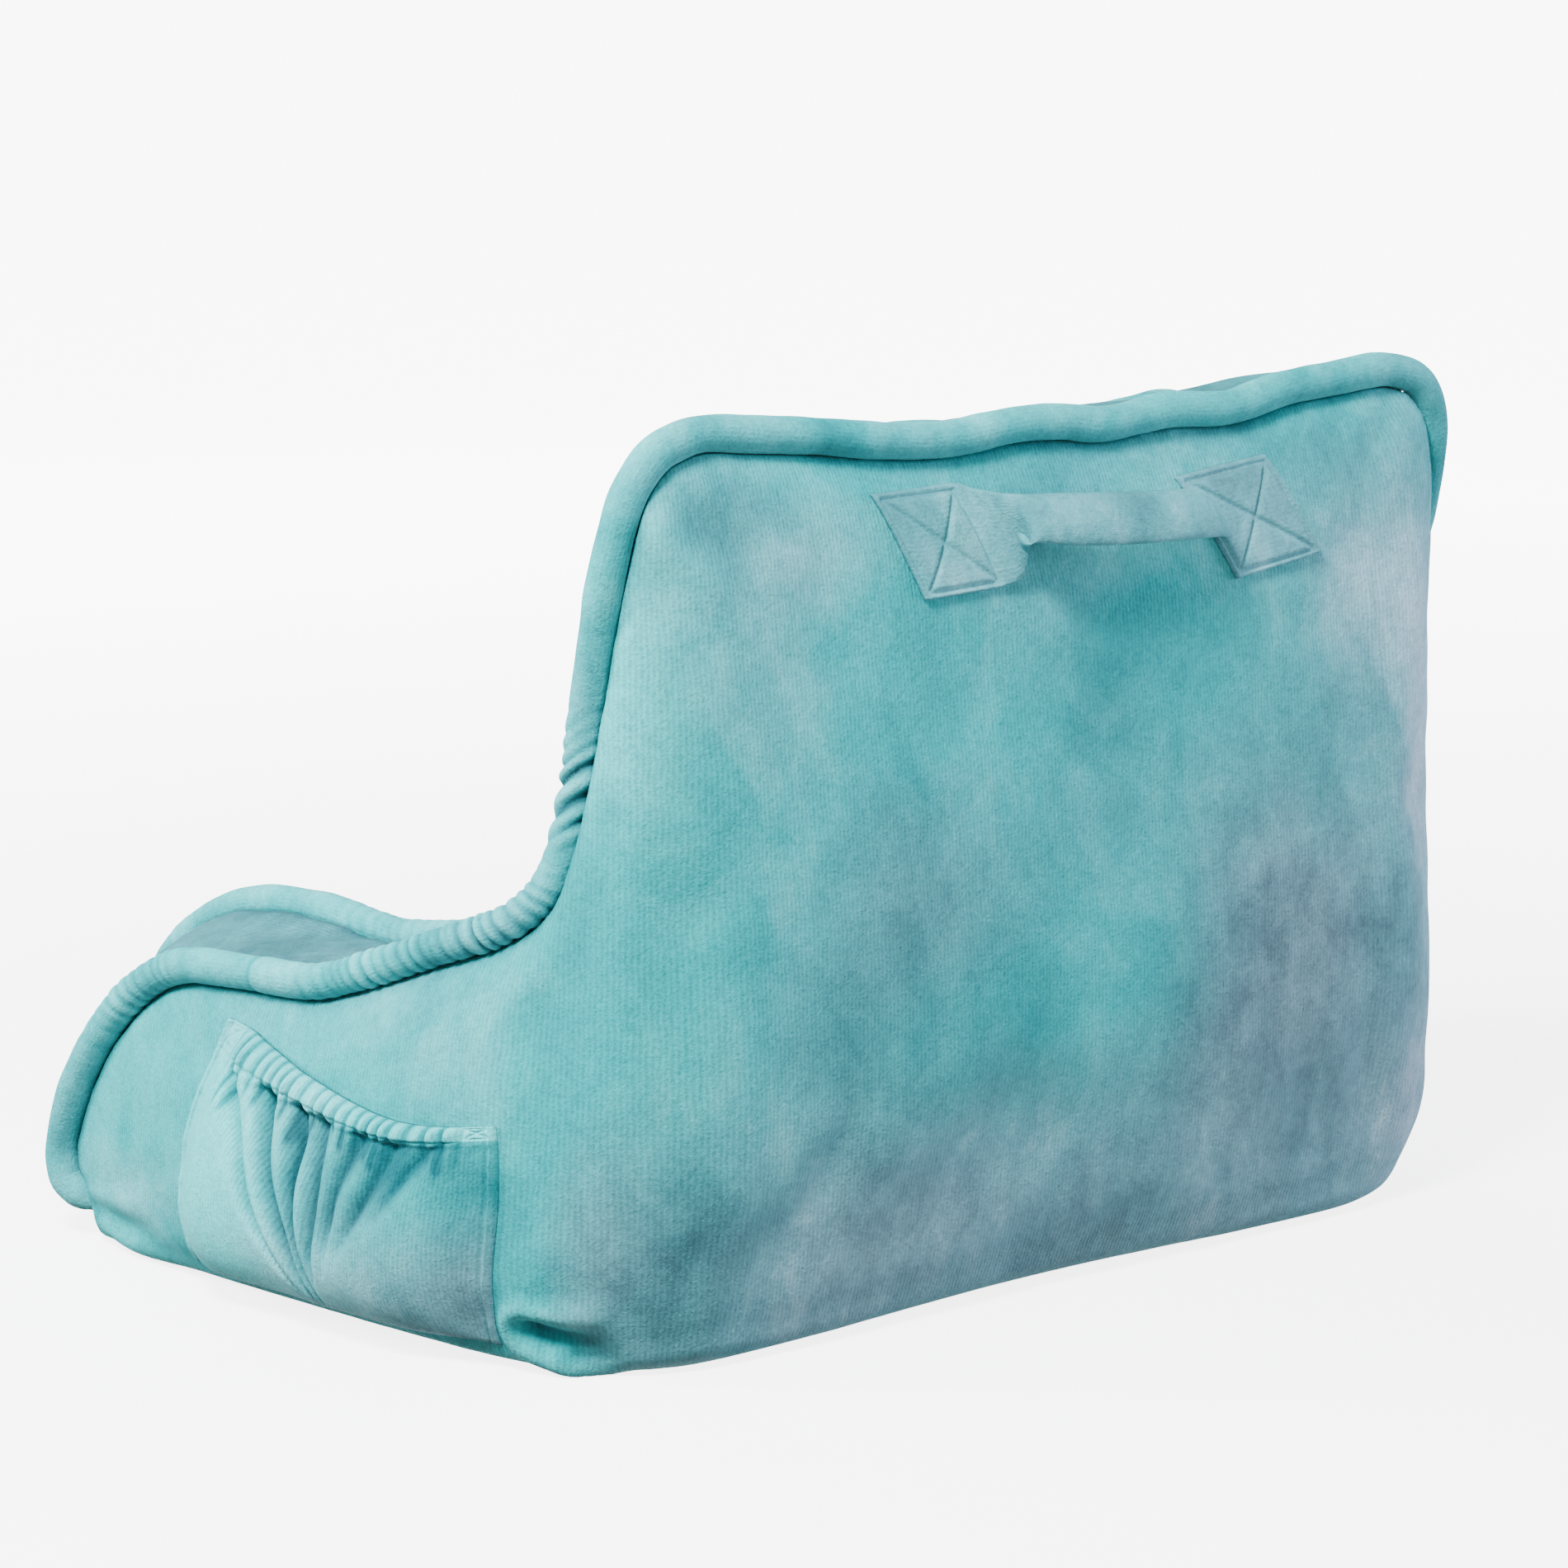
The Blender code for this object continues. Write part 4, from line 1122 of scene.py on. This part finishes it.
class PILLOW_OT_handle(bpy.types.Operator):
    """Make the carrying handle: a folded strap between two padded patches, each sewn with a cross"""
    bl_idname = "pillow.handle"
    bl_label = "Carrying handle"

    def execute(self, context):
        tree = body_tree()
        strip = self.strip(tree)
        patch = self.patch(tree)
        select_only(strip)
        patch.select_set(True)
        bpy.ops.object.join()
        strip.data.materials.append(welt_velour())
        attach(strip, "root")
        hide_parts("carry_handle")
        return {"FINISHED"}

    def close_piece(self, name, columns, along, across, grey):
        """Join a piece's columns of cloth into a closed sheet, with its weave and its pile."""
        inner, outer = (np.array([column[k] for column in columns]) for k in range(2))
        obj = closed_sheet(name, outer, inner)
        uv = np.stack(np.meshgrid(across, along, indexing="xy"), axis=2).reshape(-1, 2)
        write_uv(obj, np.concatenate([uv, uv]))
        points = coordinates(obj.data)
        write_pile(obj, 0.47 + 0.12 * soft_noise(points, 40 * MM, 9), grey)
        return obj

    def strip(self, tree):
        """The strap with the patch that its +X end opens out into."""
        sections = smooth_rows(list(STRIP_SECTIONS.values()), 26)
        rows = 60
        shares = np.linspace(0, 1, rows + 1)
        corners = [tuple(np.array(corner) * MM) for corner in FIRST_PATCH]
        columns = []
        for index, values in enumerate(sections):
            part = {key: value * MM for key, value in zip(STRIP_COLUMNS, values)}
            top = np.array((part["top_x"], part["top_z"]))
            foot = np.array((part["foot_x"], part["foot_z"]))
            tall = np.linalg.norm(top - foot)
            places = foot + (top - foot) * shares[:, None]
            folded = smoothstep((part["thickness"] - 4 * MM) / (7 * MM))
            # A flat patch is rounded only at its edge, and the folded strap all across.
            reach = EDGE_ROUNDING + (tall / 2 - EDGE_ROUNDING) * folded
            crown = edge_crown(np.minimum(shares, 1 - shares) * tall, reach)
            # The first sections thin out towards the cut end.
            ends = min(index, 2) / 2
            full = part["thickness"] * (0.30 + 0.70 * crown * (0.4 + 0.6 * ends))
            wobble = 0.5 * MM * folded * pile_noise(np.full(rows + 1, part["top_x"]), 17 * MM, 2.0)
            thick = full - sewn_patch_depth(places, corners) * (1 - folded) + wobble * crown
            stand = part["foot_stand"] + (part["top_stand"] - part["foot_stand"]) * smoothstep(shares)
            stand = stand + (part["thickness"] - full) * 0.5 * folded
            columns.append(lay_on_back(tree, top, foot, shares, stand, np.maximum(thick, THINNEST)))
        steps = np.linalg.norm(np.diff(sections[:, :2], axis=0), axis=1) * MM
        lengths = np.concatenate([[0.0], np.cumsum(steps)])
        return self.close_piece("handle_strip", columns, lengths, shares * STRIP_WIDTH, 0.40)

    def patch(self, tree):
        """The sewn patch under the strap's folded end at -X."""
        corners = [np.array(corner) * MM for corner in SECOND_PATCH]
        cells = 60
        shares = np.linspace(0, 1, cells + 1)
        columns = []
        for share in shares:
            top = corners[0] + (corners[3] - corners[0]) * share
            foot = corners[1] + (corners[2] - corners[1]) * share
            places = foot + (top - foot) * shares[:, None]
            tall = np.linalg.norm(top - foot)
            from_edge = np.minimum(np.minimum(shares, 1 - shares), min(share, 1 - share)) * tall
            full = PATCH_THICKNESS * (0.3 + 0.7 * edge_crown(from_edge, EDGE_ROUNDING))
            sewn = sewn_patch_depth(places, [tuple(corner) for corner in corners])
            thick = np.maximum(full - sewn, THINNEST)
            columns.append(lay_on_back(tree, top, foot, shares, np.zeros(cells + 1), thick))
        return self.close_piece("second_patch", columns, shares * PATCH_LENGTH, shares * STRIP_WIDTH, 0.5)


# ---- The studio ----------------------------------------------------------------------------------
# The camera's place and direction are solved from the photo's outline.
CAMERA_PLACE = Vector((1.658, 2.041, 0.743))
CAMERA_LOOK = Vector((-0.6193, -0.7616, -0.1908)).normalized()
SENSOR_WIDTH = 36.0         # in millimetres
FLOOR_SIZE = 300            # in metres, so that its far edge lies near the horizon
GLOW_NEAR = 0.7             # the floor's glow grows between these distances from the pillow
GLOW_FAR = 3.0

# Each softbox: its place, what it faces, its width and height, its share of the power, and its tint.
SOFTBOXES = (
    ("left_softbox", (2.4, -1.5, 1.5), (0.1, 0.1, 0.2), (0.7, 0.7), 0.55, "#FFFFFF"),
    ("high_softbox", (1.8, 1.0, 2.3), (0.1, 0.1, 0.2), (0.6, 0.6), 0.76, "#FFFFFF"),
    ("back_softbox", (1.0, 3.0, 0.8), (0.0, 0.2, 0.2), (2.0, 1.4), 0.19, "#FFFFFF"),
    ("right_softbox", (-2.4, 1.3, 0.7), (-0.2, 0.1, 0.25), (1.0, 1.0), 0.28, "#E6E4FF"),
    ("front_softbox", (-0.9, -2.6, 1.5), (0.0, 0.0, 0.2), (1.4, 1.4), 0.32, "#FFFFFF"),
)


def area_light(name, place, target, size, power, colour):
    light = bpy.data.lights.new(name, "AREA")
    light.shape = "RECTANGLE"
    light.size, light.size_y = size
    light.energy = power
    light.color = colour
    obj = bpy.data.objects.new(name, light)
    obj.location = place
    obj.rotation_euler = (Vector(target) - Vector(place)).to_track_quat("-Z", "Y").to_euler()
    bpy.context.scene.collection.objects.link(obj)


class PILLOW_OT_stage(bpy.types.Operator):
    """Set the plain pale floor, the soft lights and the camera"""
    bl_idname = "pillow.stage"
    bl_label = "Stage"

    def execute(self, context):
        values = settings("stage")
        self.lay_floor(values.floor_glow)
        for name, place, target, size, share, tint in SOFTBOXES:
            area_light(name, place, target, size, share * values.light_power, linear(tint)[:3])
        context.scene.world = self.pale_world(values.world_strength)
        self.place_camera(values.lens)
        return {"FINISHED"}

    def lay_floor(self, strength):
        """Lay a sheet of paper, which glows enough to stay pale under the soft shadow."""
        for item in bpy.context.selected_objects:
            item.select_set(False)
        bpy.ops.mesh.primitive_plane_add(size=FLOOR_SIZE, location=(0, 0, 0))
        floor = bpy.context.active_object
        floor.name = "studio_floor"
        paper = bpy.data.materials.new("matt_backdrop_paper")
        paper.use_nodes = True
        shader = paper.node_tree.nodes["Principled BSDF"]
        shader.inputs["Base Color"].default_value = linear("#F4F4F4")
        shader.inputs["Roughness"].default_value = 0.95
        shader.inputs["Specular IOR Level"].default_value = 0.1
        shader.inputs["Emission Color"].default_value = linear("#FFFFFF")
        # The glow grows with the distance from the pillow, as on a paper sweep that is lit behind.
        place = add_node(paper, "ShaderNodeTexCoord")
        distance = add_node(paper, "ShaderNodeVectorMath", {0: place.outputs["Object"]},
                            operation="LENGTH")
        glow = add_node(paper, "ShaderNodeMapRange", {
            "Value": distance.outputs["Value"], "From Min": GLOW_NEAR, "From Max": GLOW_FAR,
            "To Min": strength, "To Max": 2 * strength})
        paper.node_tree.links.new(glow.outputs[0], shader.inputs["Emission Strength"])
        floor.data.materials.append(paper)
        floor.visible_diffuse = False

    def place_camera(self, focal_length):
        """The photo's camera."""
        lens = bpy.data.cameras.new("photo_camera")
        lens.lens = focal_length
        lens.sensor_width = SENSOR_WIDTH
        lens.sensor_fit = "HORIZONTAL"
        camera = bpy.data.objects.new("photo_camera", lens)
        camera.location = CAMERA_PLACE
        camera.rotation_euler = CAMERA_LOOK.to_track_quat("-Z", "Y").to_euler()
        bpy.context.scene.collection.objects.link(camera)
        bpy.context.scene.camera = camera

    def pale_world(self, strength):
        """Even pale light from above that falls off to a dim glow below the floor."""
        world = bpy.data.worlds.new("pale_studio")
        world.use_nodes = True
        background = world.node_tree.nodes["Background"]
        background.inputs["Strength"].default_value = strength
        place = add_node(world, "ShaderNodeTexCoord")
        parts = add_node(world, "ShaderNodeSeparateXYZ", {"Vector": place.outputs["Generated"]})
        ramp = add_node(world, "ShaderNodeValToRGB", {"Fac": parts.outputs["Z"]})
        horizon, overhead = ramp.color_ramp.elements
        horizon.color = linear("#6F7478")
        overhead.position = 0.35
        overhead.color = linear("#FFFFFF")
        world.node_tree.links.new(ramp.outputs["Color"], background.inputs["Color"])
        return world


class PILLOW_PT_panel(bpy.types.Panel):
    """Lists the pillow's pieces in the sidebar"""
    bl_idname = "PILLOW_PT_panel"
    bl_label = "Reading pillow"
    bl_space_type = "VIEW_3D"
    bl_region_type = "UI"
    bl_category = "Pillow"

    def draw(self, context):
        for operator in OPERATORS:
            self.layout.operator(operator.bl_idname)
        for name in SETTINGS:
            group = getattr(context.scene, name)
            for key in group.__annotations__:
                self.layout.prop(group, key)


OPERATORS = (PILLOW_OT_body, PILLOW_OT_welts, PILLOW_OT_pocket, PILLOW_OT_handle, PILLOW_OT_stage)


def register():
    for group in SETTINGS.values():
        bpy.utils.register_class(group)
    for name, group in SETTINGS.items():
        setattr(bpy.types.Scene, name, PointerProperty(type=group))
    for operator in OPERATORS:
        bpy.utils.register_class(operator)
    bpy.utils.register_class(PILLOW_PT_panel)


def unregister():
    bpy.utils.unregister_class(PILLOW_PT_panel)
    for operator in reversed(OPERATORS):
        bpy.utils.unregister_class(operator)
    for name, group in SETTINGS.items():
        delattr(bpy.types.Scene, name)
        bpy.utils.unregister_class(group)


def main():
    register()
    bpy.ops.pillow.filled_body()
    bpy.ops.pillow.welts()
    bpy.ops.pillow.pocket()
    bpy.ops.pillow.handle()
    bpy.ops.pillow.stage()


if __name__ == "__main__":
    main()
